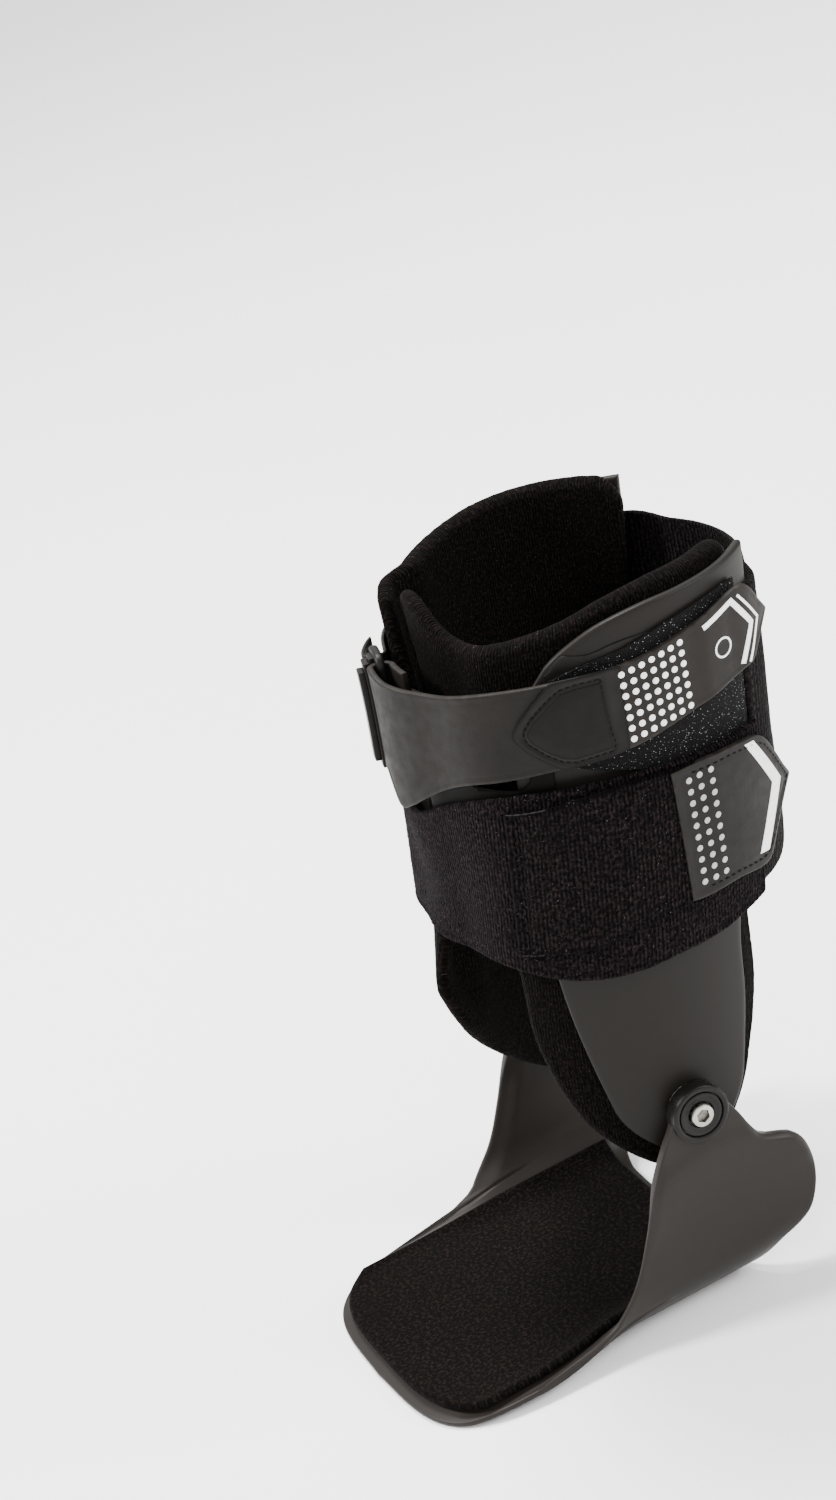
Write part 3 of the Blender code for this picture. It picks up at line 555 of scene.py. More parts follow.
def blend_colors(tree, share, first, second):
    inputs = {0: share}
    for slot, color in ((6, first), (7, second)):
        inputs[slot] = color if isinstance(color, bpy.types.NodeSocket) else (*color, 1.0)
    return put(tree, "Mix", inputs, data_type="RGBA").outputs[2]


def raise_by(tree, shader, height, distance, strength=1.0):
    """Bump of this many millimetres, on top of any already there."""
    inputs = {"Height": height, "Distance": distance * MM, "Strength": strength}
    if shader.inputs["Normal"].is_linked:
        inputs["Normal"] = shader.inputs["Normal"].links[0].from_socket
    tree.links.new(put(tree, "Bump", inputs).outputs["Normal"], shader.inputs["Normal"])


def scaled(tree, places, factors):
    return put(tree, "VectorMath", {0: places, 1: factors}, operation="MULTIPLY").outputs[0]


def shade(color, factor):
    return tuple(min(1.0, part * factor) for part in color)


def plastic(name, color, roughness=0.42, source="cloth", worn=0.5, grain=0.012, gloss=0.13):
    """Satin moulded plastic: fine spark texture, faint flow marks, handling scratches, rubbed edges."""
    material, tree, shader, flat, edge = begin(name, source, roughness, IOR=1.5, Specular_IOR_Level=gloss)
    tone = blend_colors(tree, cloud(tree, flat, 0.07), shade(color, 0.88), shade(color, 1.12))
    scratch = cloud(tree, scaled(tree, flat, (0.25, 2.6, 1.0)), 1.3, 3.0, 0.63, 0.72, 0.0, 0.18)
    tone = blend_colors(tree, scratch, tone, shade(color, 1.9))
    if edge is not None:
        rub = times(tree, span(tree, edge, 0.0, 1.2, worn, 0.0), cloud(tree, flat, 0.5, 3.0))
        tone = blend_colors(tree, rub, tone, shade(color, 2.4))
    tree.links.new(tone, shader.inputs["Base Color"])
    tree.links.new(cloud(tree, flat, 0.4, 3.0, 0.3, 0.7, roughness - 0.06, roughness + 0.07),
                   shader.inputs["Roughness"])
    raise_by(tree, shader, cloud(tree, flat, 5.0, 2.0, 0.3, 0.7), grain)
    return material


def coated(name, color, roughness=0.4, worn=0.6, rim=0.0):
    """Rubber-coated strap: smooth skin with a fine pebble, soft creases and, with rim, painted shade darkening
    the band along the edge.
    """
    material, tree, shader, flat, edge = begin(name, "cloth", roughness, IOR=1.48, Specular_IOR_Level=0.11)
    tone = blend_colors(tree, cloud(tree, flat, 0.05), shade(color, 0.86), shade(color, 1.14))
    dust = cloud(tree, flat, 2.6, 3.0, 0.62, 0.75, 0.0, 0.2)
    tone = blend_colors(tree, dust, tone, shade(color, 2.2))
    rub = times(tree, span(tree, edge, 0.0, 1.0, worn, 0.0), cloud(tree, flat, 0.35, 2.0))
    tone = blend_colors(tree, rub, tone, shade(color, 2.6))
    # rim paints shade into the colour along the edge, where the outline of a lapped layer and its stitching
    # would be shaded
    if rim:
        tone = blend_colors(tree, span(tree, edge, 0.25, 0.85, rim, 0.0), tone, shade(color, 0.12))
    tree.links.new(tone, shader.inputs["Base Color"])
    tree.links.new(cloud(tree, flat, 0.3, 3.0, 0.3, 0.7, roughness - 0.05, roughness + 0.1),
                   shader.inputs["Roughness"])
    pebble = put(tree, "TexVoronoi", {"Vector": flat, "Scale": 2.4}).outputs["Distance"]
    raise_by(tree, shader, pebble, 0.018)
    creases = cloud(tree, scaled(tree, flat, (1.0, 0.12, 1.0)), 0.5, 2.0, 0.4, 0.7)
    raise_by(tree, shader, creases, 0.012)
    return material


def pile(name, dark, light, rib=0.0, sheen=0.012, depth=0.12, fleck=0.0, loop=1.0, rim=0.0):
    """Brushed loop fabric: matted pile of upright loops, sheen, and ribs this many millimetres apart. The
    colour follows the relief, lighter on loop tops and rib crests and darker between them: partly the pile's
    own tone, partly painted shade. With rim, painted shade darkens the edge.
    """
    material, tree, shader, flat, edge = begin(
        name, "cloth", 0.95, Sheen_Weight=sheen, Sheen_Roughness=0.45, Sheen_Tint=(0.66, 0.58, 0.6, 1.0),
        Specular_IOR_Level=0.05)
    tuft = cloud(tree, flat, 1.0, 5.0, 0.42, 0.6)
    cells = put(tree, "TexVoronoi", {"Vector": scaled(tree, flat, (1.0, 0.5, 1.0)), "Scale": loop,
                                     "Randomness": 0.8})
    loops = span(tree, cells.outputs["Distance"], 0.1, 0.62, 1.0, 0.0)
    height = plus(tree, times(tree, tuft, 0.5), times(tree, loops, 0.6))
    # value follows the same loops and ribs as the bump: lighter tops and darker gaps, partly the pile's own
    # tone, partly painted shade
    value = plus(tree, times(tree, tuft, 0.55), times(tree, loops, 0.45))
    if rib:
        bent = plus(tree, put(tree, "SeparateXYZ", {0: flat}).outputs["X"],
                       cloud(tree, flat, 0.5, 2.0, 0.0, 1.0, -0.5, 0.5))
        wave = math_of(tree, "SINE", times(tree, bent, 2 * math.pi / rib))
        patchy = cloud(tree, flat, 0.16, 2.0, 0.38, 0.62, 0.45, 1.0)
        wave = times(tree, wave, patchy)
        height = plus(tree, height, times(tree, wave, 0.4))
        value = plus(tree, times(tree, value, 0.65), span(tree, wave, -1.0, 1.0, 0.0, 0.4))
    value = math_of(tree, "POWER", span(tree, value, 0.2, 0.85, 0.0, 1.0), 1.5)
    value = times(tree, value, cloud(tree, flat, 0.09, 2.0, 0.35, 0.65, 0.82, 1.0))
    # rim darkens the colour towards the edge: painted shade at the step where a strap end lies
    if rim:
        value = times(tree, value, span(tree, edge, 0.2, 1.6, 1.0 - rim, 1.0))
    tone = blend_colors(tree, value, dark, light)
    if fleck:
        lint = cloud(tree, flat, 2.4, 1.0, 0.72, 0.77, 0.0, fleck)
        tone = blend_colors(tree, lint, tone, (0.35, 0.33, 0.34))
    tree.links.new(tone, shader.inputs["Base Color"])
    raise_by(tree, shader, height, depth)
    return material


def hooks(name, source="cloth"):
    """Hook tape: rows of tiny glossy hooks on black, with light grey specks on some hook tips as painted
    glints.
    """
    material, tree, shader, flat, _ = begin(name, source, 0.5, IOR=1.5, Specular_IOR_Level=0.15)
    cells = put(tree, "TexVoronoi", {"Vector": flat, "Scale": 1.9, "Randomness": 0.9})
    distance = cells.outputs["Distance"]
    chance = put(tree, "SeparateColor", {0: cells.outputs["Color"]}).outputs[0]
    tip = span(tree, distance, 0.12, 0.3, 1.0, 0.0)
    # light grey specks on a share of the hook tips: painted glints
    painted_glint = times(tree, tip, span(tree, chance, 0.5, 0.98, 0.0, 1.0))
    tone = blend_colors(tree, tip, (0.0016, 0.0015, 0.0016), (0.011, 0.0105, 0.011))
    tone = blend_colors(tree, painted_glint, tone, (0.42, 0.42, 0.435))
    tree.links.new(tone, shader.inputs["Base Color"])
    tree.links.new(span(tree, tip, 0.0, 1.0, 0.9, 0.3), shader.inputs["Roughness"])
    raise_by(tree, shader, span(tree, distance, 0.05, 0.5, 1.0, 0.0), 0.3)
    return material


def metal(name, color, roughness, source="place"):
    """Turned steel with fine lathe marks and smudges."""
    material, tree, shader, flat, _ = begin(name, source, roughness, Metallic=1.0, IOR=2.5)
    tone = blend_colors(tree, cloud(tree, flat, 0.6, 3.0), shade(color, 0.82), color)
    tree.links.new(tone, shader.inputs["Base Color"])
    tree.links.new(cloud(tree, flat, 2.0, 4.0, 0.3, 0.7, roughness - 0.07, roughness + 0.14),
                   shader.inputs["Roughness"])
    raise_by(tree, shader, cloud(tree, scaled(tree, flat, (9.0, 1.2, 1.2)), 1.0, 2.0), 0.006)
    return material


def ink(name, color):
    """Screen-printed rubber ink with pinholes and worn spots."""
    material, tree, shader, flat, _ = begin(name, "cloth", 0.5, IOR=1.45)
    tone = blend_colors(tree, cloud(tree, flat, 0.8, 3.0, 0.4, 0.7), color, shade(color, 0.86))
    tone = blend_colors(tree, cloud(tree, flat, 5.0, 2.0, 0.68, 0.76, 0.0, 0.6), tone, shade(color, 0.35))
    tree.links.new(tone, shader.inputs["Base Color"])
    tree.links.new(cloud(tree, flat, 1.5, 2.0, 0.3, 0.7, 0.42, 0.6), shader.inputs["Roughness"])
    raise_by(tree, shader, cloud(tree, flat, 4.0, 2.0, 0.3, 0.7), 0.02)
    return material


def thread(name, color):
    material, tree, shader, flat, _ = begin(name, "place", 0.8, Specular_IOR_Level=0.1)
    twist = put(tree, "TexWave", {"Vector": flat, "Scale": 1.6, "Distortion": 1.0},
                bands_direction="DIAGONAL")
    tone = blend_colors(tree, twist.outputs["Fac"], shade(color, 0.55), color)
    tree.links.new(tone, shader.inputs["Base Color"])
    raise_by(tree, shader, twist.outputs["Fac"], 0.06)
    return material


shell_plastic = plastic("satin_shell_plastic", (0.0064, 0.0053, 0.0045), 0.46, gloss=0.11)
plate_plastic = plastic("satin_plate_plastic", (0.0108, 0.0090, 0.0078), 0.43, worn=0.6)
hinge_plastic = plastic("hinge_rim_plastic", (0.0075, 0.0066, 0.0058), 0.3, source="place")
ring_plastic = plastic("ring_plastic", (0.0052, 0.0045, 0.0040), 0.4, source="place")
washer_plastic = plastic("washer_plastic_fine", (0.40, 0.385, 0.35), 0.5, source="object", worn=0)
strap_coat = coated("coated_strap_skin", (0.0078, 0.0065, 0.0055), 0.52)
# tab_rubber darkens its edge with rim: painted shade round the strap overlay's outline
tab_coat = coated("tab_rubber", (0.0074, 0.0062, 0.0054), 0.5, worn=0.0, rim=0.95)
printed_coat = coated("printed_tab_rubber", (0.0122, 0.0103, 0.0090), 0.5)
lower_tab_coat = coated("lower_tab_rubber", (0.0100, 0.0086, 0.0078), 0.5)
# patch_leatherette darkens its edge with rim: painted shadow of the stitching round the inlay
patch_coat = coated("patch_leatherette", (0.0036, 0.0029, 0.0025), 0.46, worn=0.0, rim=0.9)
# much darker than the other plastics: partly the anchor's own dark colour, partly painted shade under the
# strap's lower edge
anchor_painted_shade_plastic = plastic("anchor_painted_shade_plastic", (0.0020, 0.0017, 0.0015), 0.6, gloss=0.05)
wrap_knit = pile("wrap_knit", (0.0003, 0.0001, 0.0002), (0.0180, 0.0115, 0.0135), rib=1.0, depth=0.5,
                 fleck=0.35)
# strap_knit darkens its edge with rim: painted shade at the strap's step onto the wrap
strap_knit = pile("strap_knit", (0.0003, 0.0001, 0.0002), (0.0175, 0.0115, 0.0125), rib=1.0, depth=0.5,
                  fleck=0.3, rim=0.85)
calf_knit = pile("calf_knit", (0.0004, 0.0003, 0.0003), (0.0180, 0.0135, 0.0145), rib=1.5, depth=0.4)
liner_plush = pile("liner_plush", (0.0002, 0.0001, 0.0001), (0.0088, 0.0054, 0.0042), rib=0.95, depth=0.32,
                   fleck=0.15, sheen=0.006, loop=1.4)
pad_suede = pile("pad_suede", (0.0008, 0.0006, 0.0005), (0.0100, 0.0068, 0.0052), depth=0.14, loop=2.2)
# both hook tape materials carry the painted glints
hook_tape = hooks("hook_tape_painted_glint")
hook_tape_hidden = hooks("hook_tape_patch", "object")
steel = metal("stainless_turned", (0.40, 0.38, 0.345), 0.28)
steel_hidden = metal("stainless_plain", (0.66, 0.65, 0.63), 0.3, "object")
# darker steel for the socket's inside: painted shade in the hex recess
socket_painted_shade_steel = metal("socket_shade", (0.20, 0.185, 0.165), 0.4)
white_ink = ink("white_ink", (0.90, 0.90, 0.89))
grey_ink = ink("grey_ink", (0.36, 0.36, 0.35))
black_thread = thread("black_thread", (0.006, 0.0056, 0.0056))
# grey thread sews the calf seams and also draws the knit strap's pale edge line, partly a painted highlight
grey_thread_and_edge_highlight = thread("grey_thread_and_edge_highlight", (0.030, 0.028, 0.027))


# Footplate and sole pad

BEND_RADIUS, FLOOR_HALF_WIDTH, LOBE_HALF_WIDTH = 18.0, 28.5, 36.0
PLATE_THICKNESS = 3.0
EAR_RADIUS = 8.0
EAR_MIDDLE = FLOOR_HALF_WIDTH + BEND_RADIUS * math.pi / 2 + HINGE_HEIGHT - BEND_RADIUS
PLATE_FRONT = [(0, -94.5), (24, -93), (36, -88.5), (43, -80), (46, -68), (47, -50), (48.5, -41.5),
               (50.5, -38.3), (58.3, -30.7), (69.8, -24.3), (83, -18.2), (93, -12.2), (98, -8.6), (101, -7.7)]
PLATE_REAR = [(0, 4), (28, 4), (37, 6), (42.2, 9), (47.9, 14), (50.2, 18.5), (54.4, 23.5), (64, 27.4),
              (74.3, 27), (79.6, 23.3), (82.6, 16.2), (86.8, 13.3), (93, 10.8), (98, 8.5), (101, 7.7)]


def plate_point(s, y, depth):
    """A point of the bent plate: s runs from the middle of the sole out and up the side wall."""
    floor = FLOOR_HALF_WIDTH + (LOBE_HALF_WIDTH - FLOOR_HALF_WIDTH) * ease((-30 - y) / 35)
    sign, run, radius = np.where(s < 0, -1, 1), np.abs(s), BEND_RADIUS - depth
    turn = np.clip((run - floor) / BEND_RADIUS, 0, math.pi / 2)
    wall = np.maximum(run - floor - BEND_RADIUS * math.pi / 2, 0)
    x = np.minimum(run, floor) + radius * np.sin(turn)
    return np.stack([sign * x, y, BEND_RADIUS - radius * np.cos(turn) + wall], -1)


def plate_grid(reach, ends, step, lip):
    """Rows of s, closer together at the outer ends, and of y between a front and a rear edge."""
    half = reach * (1 - spaced(2 * reach, step, lip)[: round(reach / step) + 5] * 2)
    half = half[half > 0.3]
    s = np.concatenate([-half, [0.0], half[::-1]])
    front, rear = ends(np.abs(s))
    share = spaced(95.0, step * 1.3, lip)
    y = front[:, None] + (rear - front)[:, None] * share[None, :]
    return np.broadcast_to(s[:, None], y.shape), y


def plate_ends(s):
    above = np.clip((s - EAR_MIDDLE) / EAR_RADIUS, 0, 1)
    round_end = EAR_RADIUS * np.sqrt(1 - above**2)
    on_ear = s > 101
    return (np.where(on_ear, -round_end, along(PLATE_FRONT, s)),
            np.where(on_ear, round_end, along(PLATE_REAR, s)))


def thin_edge(s, y, edge):
    """The sole and wings thin towards their free edge; the ears keep their full thickness."""
    return 1.5 * (1 - ease(edge / 6.0)) * ease((86 - np.abs(s)) / 12)


def wall_ridge(s, y, edge):
    """A soft ridge across the side wall under the ear, falling away slowly below."""
    above = np.abs(s) - (85.8 - 0.014 * y**2)
    return 1.25 * np.exp(-(above / np.where(above > 0, 4.2, 10.0)) ** 2) * ease((np.abs(s) - 62) / 10)


def build_footplate():
    s, y = plate_grid(EAR_MIDDLE + EAR_RADIUS * 0.994, plate_ends, 1.2, 0.7)
    plate = lay_sheet("stirrup_plate", plate_point(s, y, 0.0), plate_point(s, y, PLATE_THICKNESS),
                      plate_plastic, (s, y), 0.55, wall_ridge, place=standing, taper=thin_edge)
    for side in (LATERAL, MEDIAL):
        cut(plate, drill(side, 40, 50, EAR_HOLE))
    dress(plate, "stirrup", "moulded_plastic", "footplate")
    rim = [(43.42, 3.2), (43.42, 8.0), (43.55, 8.22), (43.8, 8.3), (47.3, 8.3), (47.7, 8.2), (47.95, 7.9),
           (48.03, 7.5), (48.0, 7.0), (47.85, 6.65), (47.55, 6.47), (46.6, 6.45), (46.6, 3.2)]
    for side, word in ((LATERAL, "lateral"), (MEDIAL, "medial")):
        ring = turned(word + "_ear_rim", rim, hinge_plastic, side)
        dress(ring, "stirrup", "moulded_plastic")


def pad_ends(s):
    return -91.5 + 13 * (s / 43) ** 4, 1.0 + 0 * s


def build_sole_pad():
    s, y = plate_grid(43.0, pad_ends, 1.3, 1.2)

    def seam(across, along_foot, edge):
        return -0.3 * ridge(edge, 3.2, 0.5)

    pad = lay_sheet("sole_pad_suede", plate_point(s, y, 3.08), plate_point(s, y, 5.6), pad_suede, (s, y),
                    lining=seam, place=standing)
    roughen(pad, 0.05, 1.6)
    dress(pad, "stirrup", "pad_foam", "sole_pad")


# Hinges

def hex_radius(turn, across):
    """Radius of a hexagon with this distance from its middle to a flat."""
    return across / np.cos((turn + math.pi / 6) % (math.pi / 3) - math.pi / 6)


def build_screw(word, side):
    """Socket screw: pin, domed head and a six-sided socket."""
    profile = [(37.9, 2.0), (46.9, 2.0), (46.9, 3.2), (47.0, 3.3), (48.2, 3.3), (48.55, 3.22), (48.78, 3.05),
               (48.88, 2.8), (48.9, 2.3)]
    socket = hex_radius(round_turn(TURNED_SIDES), SOCKET_HALF_ACROSS)
    stations = profile + [(48.9, socket * 1.1), (48.8, socket), (47.65, socket), (47.6, socket * 0.93),
                          (47.35, socket * 0.3)]
    screw = make_piece(word + "_socket_screw", upright(hinge_rings(stations, side, TURNED_SIDES)),
                       tube_faces(len(stations), TURNED_SIDES), steel, sharp=30)
    # the socket's inside takes the darker steel: painted shade in the hex recess
    screw.data.materials.append(socket_painted_shade_steel)
    socket_start = (len(profile) + 1) * TURNED_SIDES
    for polygon in screw.data.polygons:
        if min(polygon.vertices) >= socket_start:
            polygon.material_index = 1
    dress(screw, "stirrup", "stainless", word + "_hinge_screw")


def build_hinges():
    cap = [(46.9, 3.7), (46.9, 6.1), (47.5, 6.15), (47.68, 6.1), (47.78, 5.95), (47.8, 5.7), (47.8, 5.2),
           (47.7, 5.0), (47.7, 4.2), (47.66, 3.85), (47.5, 3.7)]
    bodies = frame["record"]["behaviour"]["bodies"]
    for side, word in ((LATERAL, "lateral"), (MEDIAL, "medial")):
        build_screw(word, side)
        disc = turned(word + "_cap_disc", cap, hinge_plastic, side)
        node = word + "_hinge_cap"
        dress(disc, next(body for body, nodes in bodies.items() if node in nodes), "cap_plastic", node)


# Shells and liners

SHELL_FRONT = [(-13, 19), (0, 24), (28, 33), (45, 37), (75, 42), (105, 44.5), (148, 44)]
SHELL_REAR = [(-13, 20), (0, 23), (24, 26.5), (45, 26), (75, 32), (105, 38), (130, 43), (148, 44)]
SHELL_RIM = [(-44, 122), (-36.4, 127.5), (-31, 133.5), (-23, 138.5), (-14, 142.2), (-1, 144.7),
             (12, 145.4), (30, 146.3), (44, 147.5)]
LINER_REAR = [(-20, 26), (2, 36), (12, 41), (25, 44), (44, 41), (75, 41), (100, 43), (152, 47)]
LATERAL_LINER_FRONT = [(-18, 26), (-3, 37), (11, 46), (26, 52), (45, 55), (60, 60), (75, 76),
                       (90, 98), (105, 110), (152, 112)]
LATERAL_LINER_RIM = [(-112, 142), (-101, 144.6), (-93, 144.4), (-86, 142.2), (-79, 139.0), (-71, 136.8),
                     (-60, 136.3), (-45, 138), (-25, 142.1), (-12, 145.8), (5, 148.5), (26, 149.2),
                     (37, 149.4), (43, 147.4), (47, 142.5)]
MEDIAL_LINER_FRONT = [(-18, 26), (-3, 42), (11, 60), (26, 68), (45, 68), (60, 66), (75, 70), (90, 80),
                      (102, 92), (115, 98), (123, 98), (131, 88), (140, 76), (152, 66)]
MEDIAL_LINER_RIM = [(-86, 132), (-75, 136), (-68, 139.5), (-57, 142.5), (-30, 146), (0, 149.5), (37, 149.7),
                    (43, 147.4), (47, 142.5)]
HOOK_HIGH = [(-30, 130), (-22, 132.5), (-9, 135), (3, 138), (18, 140.5), (27, 141.3)]
HOOK_FRONT = [(58, -8), (101, -8), (103.5, -20), (107, -30), (140, -30)]
BACKING_HIGH = [(-31, 131.2), (-28, 134.6), (-25.8, 136.0), (-22.8, 135.4), (-18, 135.2), (-11, 136.6),
                (-3.5, 137.2), (4.5, 136.9), (18, 139.0), (29, 140.5)]


def build_shell(side, word):
    spots = side_spots(-13.0, 148.0, SHELL_FRONT, SHELL_REAR, SHELL_RIM, 17.0, 62.0, 1.6, 0.9)
    shell = panel(word + "_shell_moulding", spots, constant(0.0), constant(-SHELL_INNER), shell_plastic,
                  0.9, side)
    cut(shell, drill(side, 36, 46, SHELL_HOLE, to_world))
    cut(shell, drill(side, 33, 39.5, NUT_POCKET, to_world))
    dress(shell, "cuff", "moulded_plastic", word + "_shell")


def flap_rise(angle, height):
    return ease((-angle - 45) / 13) * ease((height - 8) / 24)


LINER_SHAPE = {
    LATERAL: (lambda a, h: LINER_OUTER + (TONGUE_OUTER - LINER_OUTER) * ease((-a - 52) / 18),
              lambda a, h: LINER_THICKNESS + (TONGUE_THICKNESS - LINER_THICKNESS) * ease((-a - 48) / 20)),
    MEDIAL: (lambda a, h: LINER_OUTER + (FLAP_OUTER - LINER_OUTER) * flap_rise(a, h),
             lambda a, h: LINER_THICKNESS + (FLAP_THICKNESS - LINER_THICKNESS) * flap_rise(a, h)),
}


def build_liner(side, word):
    front, rim = ((LATERAL_LINER_FRONT, LATERAL_LINER_RIM) if side == LATERAL
                  else (MEDIAL_LINER_FRONT, MEDIAL_LINER_RIM))
    spots = side_spots(-21.0, 152.0, front, LINER_REAR, rim, 22.0, 105.0, 1.4, 2.6)

    def outside(arc, up, edge):
        """A sewn line inside the edge, and a pocket for the hinge's nut."""
        pocket = ease((8.6 - np.hypot(arc, up)) / 1.2)
        return -0.28 * ridge(edge, 3.6, 0.5) - 0.55 * pocket

    def inside(arc, up, edge):
        """Soft crown with shallow quilted channels across the pad."""
        crown = 0.35 * ease(edge / 14)
        channels = sum(ridge(up, line, 1.1) for line in (20, 52, 84, 116))
        return crown - 0.3 * ridge(edge, 3.6, 0.5) - 0.45 * channels * ease((edge - 5) / 3)

    outer, thickness = LINER_SHAPE[side]
    liner = panel(word + "_liner_pad", spots, outer, thickness, liner_plush, None, side,
                  relief=outside, lining=inside)
    roughen(liner, 0.12, 1.0)
    dress(liner, "cuff", "liner_foam", word + "_liner")


def hook_spots(front_gap, rear, low, top_line, step, lip):
    u, v = np.meshgrid(spaced(50.0, step, lip), spaced(75.0, step, lip))
    height = low + (128.0 - low) * v
    front = along(HOOK_FRONT, height) - front_gap
    angle = front + (rear - front) * u
    return angle, height + (along(top_line, angle) - 128.0) * ease((v - 0.62) / 0.38)


def build_hook_field(side, word):
    spots = hook_spots(0, 33.0, 58.0, HOOK_HIGH, 0.62, 0.35)
    field = panel(word + "_hook_tape", spots, constant(HOOK_OUTER), constant(HOOK_OUTER - HOOK_INNER),
                  hook_tape, 0.2, side)
    roughen(field, 0.13, 0.55)
    dress(field, "cuff", "hook_tape", word + "_hook_field")
    backing = panel(word + "_hook_backing", hook_spots(1.0, 32.5, 55.0, BACKING_HIGH, 1.2, 0.2),
                    constant(0.42), constant(0.40), shell_plastic, 0.15, side)
    dress(backing, "cuff", "moulded_plastic")


# Calf panel, wrap and lower strap

WRAP_LOW = [(-140, 50), (-110, 50), (-91, 50), (-77, 50.7), (-65, 50.9), (-55, 50.6), (-45, 48.9),
            (-36, 46.7), (-25, 45.4), (-13, 45.6), (0, 47.3), (13, 48.4), (25, 50.5), (34, 52)]
WRAP_HIGH = [(-214, 93), (-140, 86), (-97, 85.5), (-82, 89.7), (-75, 92.2), (-61, 96.3), (-48, 99),
             (-36, 100.2), (-14, 101.3), (34, 101.3)]


def build_calf_panel():
    def low(angle):
        return 53.5 + 5.5 * ease((42 - np.abs(angle - 90)) / 42)

    def high(angle):
        return 134.5 + 2.5 * np.sin(np.radians(angle))

    def hem(arc, up, edge):
        return -0.22 * ridge(edge, 4.2, 0.4)

    spots = band_spots((33.7, 146.3), low, high, (98, 80), 0.9, 0.7)
    calf = panel("calf_stretch_panel", spots, constant(CALF_OUTER), constant(CALF_THICKNESS), calf_knit,
                 relief=hem, lining=hem)
    roughen(calf, 0.06, 1.3)
    dress(calf, "cuff", "loop_fabric", "calf_panel")
    seams = [sew(word % angle, [(angle, 57.0), (angle, 133.0)], constant(CALF_OUTER), grey_thread_and_edge_highlight)
             for word, angle in (("calf_seam_%d", 36.2), ("calf_seam_%d", 143.8),
                                 ("calf_seam_inner_%d", 38.4), ("calf_seam_inner_%d", 141.6))]
    for seam in seams:
        dress(seam, "cuff", "loop_fabric")


def build_wrap():
    def low(angle):
        return along(WRAP_LOW, np.maximum(angle, -140))

    def waves(arc, up, edge):
        """The knit pulls into shallow folds, and its bound edge thins."""
        folds = 0.22 * np.sin(arc / 9.0 + 0.05 * up) * np.sin(up / 7.0 + arc / 31.0)
        return folds - 0.3 * ridge(edge, 2.2, 0.6)

    spots = band_spots((-214, 34), low, lambda a: along(WRAP_HIGH, a), (212, 48), 0.75, 1.1)
    wrap = panel("knit_wrap", spots, constant(WRAP_OUTER), constant(WRAP_OUTER - WRAP_INNER), wrap_knit,
                 relief=waves)
    roughen(wrap, 0.17, 0.9, 0.8)
    dress(wrap, "cuff", "loop_fabric", "lower_wrap")


STRAP_START = -47.0


def lower_strap_low(angle):
    return 55.2 + 6.6 * ease((angle + 30) / 36)


def lower_strap_high(angle):
    return 95.6 + 4.8 * ease((angle + 47) / 40)


def build_lower_strap():
    def pulled(arc, up, edge):
        start = arc - STRAP_START * ARC
        return -0.7 * ridge(start, 3.0, 0.6) - 0.25 * ridge(edge, 1.8, 0.5)

    end = LOWER_TAB_ROOT - 0.5
    spots = band_spots((STRAP_START, end), lower_strap_low, lower_strap_high, (50, 42), 0.75, 0.8)
    strap = panel("knit_strap", spots, constant(LOWER_STRAP_OUTER), constant(STRAP_THICKNESS), strap_knit,
                  relief=pulled)
    roughen(strap, 0.15, 0.9, 0.8)
    dress(strap, "cuff", "loop_fabric", "lower_strap")
    seam = sew("knit_strap_seam", [(-43.6, 57.0), (-43.6, 94.5)], constant(LOWER_STRAP_OUTER - 0.3),
               black_thread)
    # pale grey stitches along the strap's top edge and lower-left corner draw the pale line there: partly
    # seam, partly painted edge highlight
    high = [(a, float(lower_strap_high(a)) - 0.15) for a in np.arange(-46.5, -33, 1.5)]
    low = [(a, float(lower_strap_low(a)) + 0.25) for a in np.arange(-46.0, -39, 1.5)]
    sewn = [seam] + [sew(name, line, constant(LOWER_STRAP_OUTER - 0.45), grey_thread_and_edge_highlight, length=2.2, pitch=2.0,
                         radius=0.2)
                     for name, line in (("knit_strap_edge_highlight_stitches", high), ("knit_strap_corner_highlight_stitches", low))]
    for piece in sewn:
        dress(piece, "cuff", "loop_fabric")


# Tabs

def bend_with_tab(piece, root, end, height, offset):
    """Bakes the piece's placement into its mesh. The spots at the tab's root and bend end are found on the
    skin, but nothing is done with them; the piece does not bend.
    """
    tuple(to_world(skin(root, height, offset)))
    tuple(to_world(skin(end, height, offset)))
    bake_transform(piece)


LOWER_TAB_HIGH = [(-1.2, 99.8), (5.6, 100.5), (17, 100.6), (27, 99.8), (31, 97.8), (36, 92), (41, 85.8),
                  (45, 81.9)]
LOWER_TAB_LOW = [(2.6, 62.6), (5.6, 62.4), (18, 63.4), (28, 62.6), (32, 63.8), (36, 70.5), (41, 77.5),
                 (45, 81.2)]
DOT_SHIFT = (1.2, -0.8)  # degrees back and millimetres down, from the strap's seam


def lower_tab_face(angle, height):
    return 6.4 + 0.4 * ease((angle - 4) / 9)


def lower_tab_thickness(angle, height):
    return 0.55 + 1.25 * ease((angle - 5.8) / 1.4)


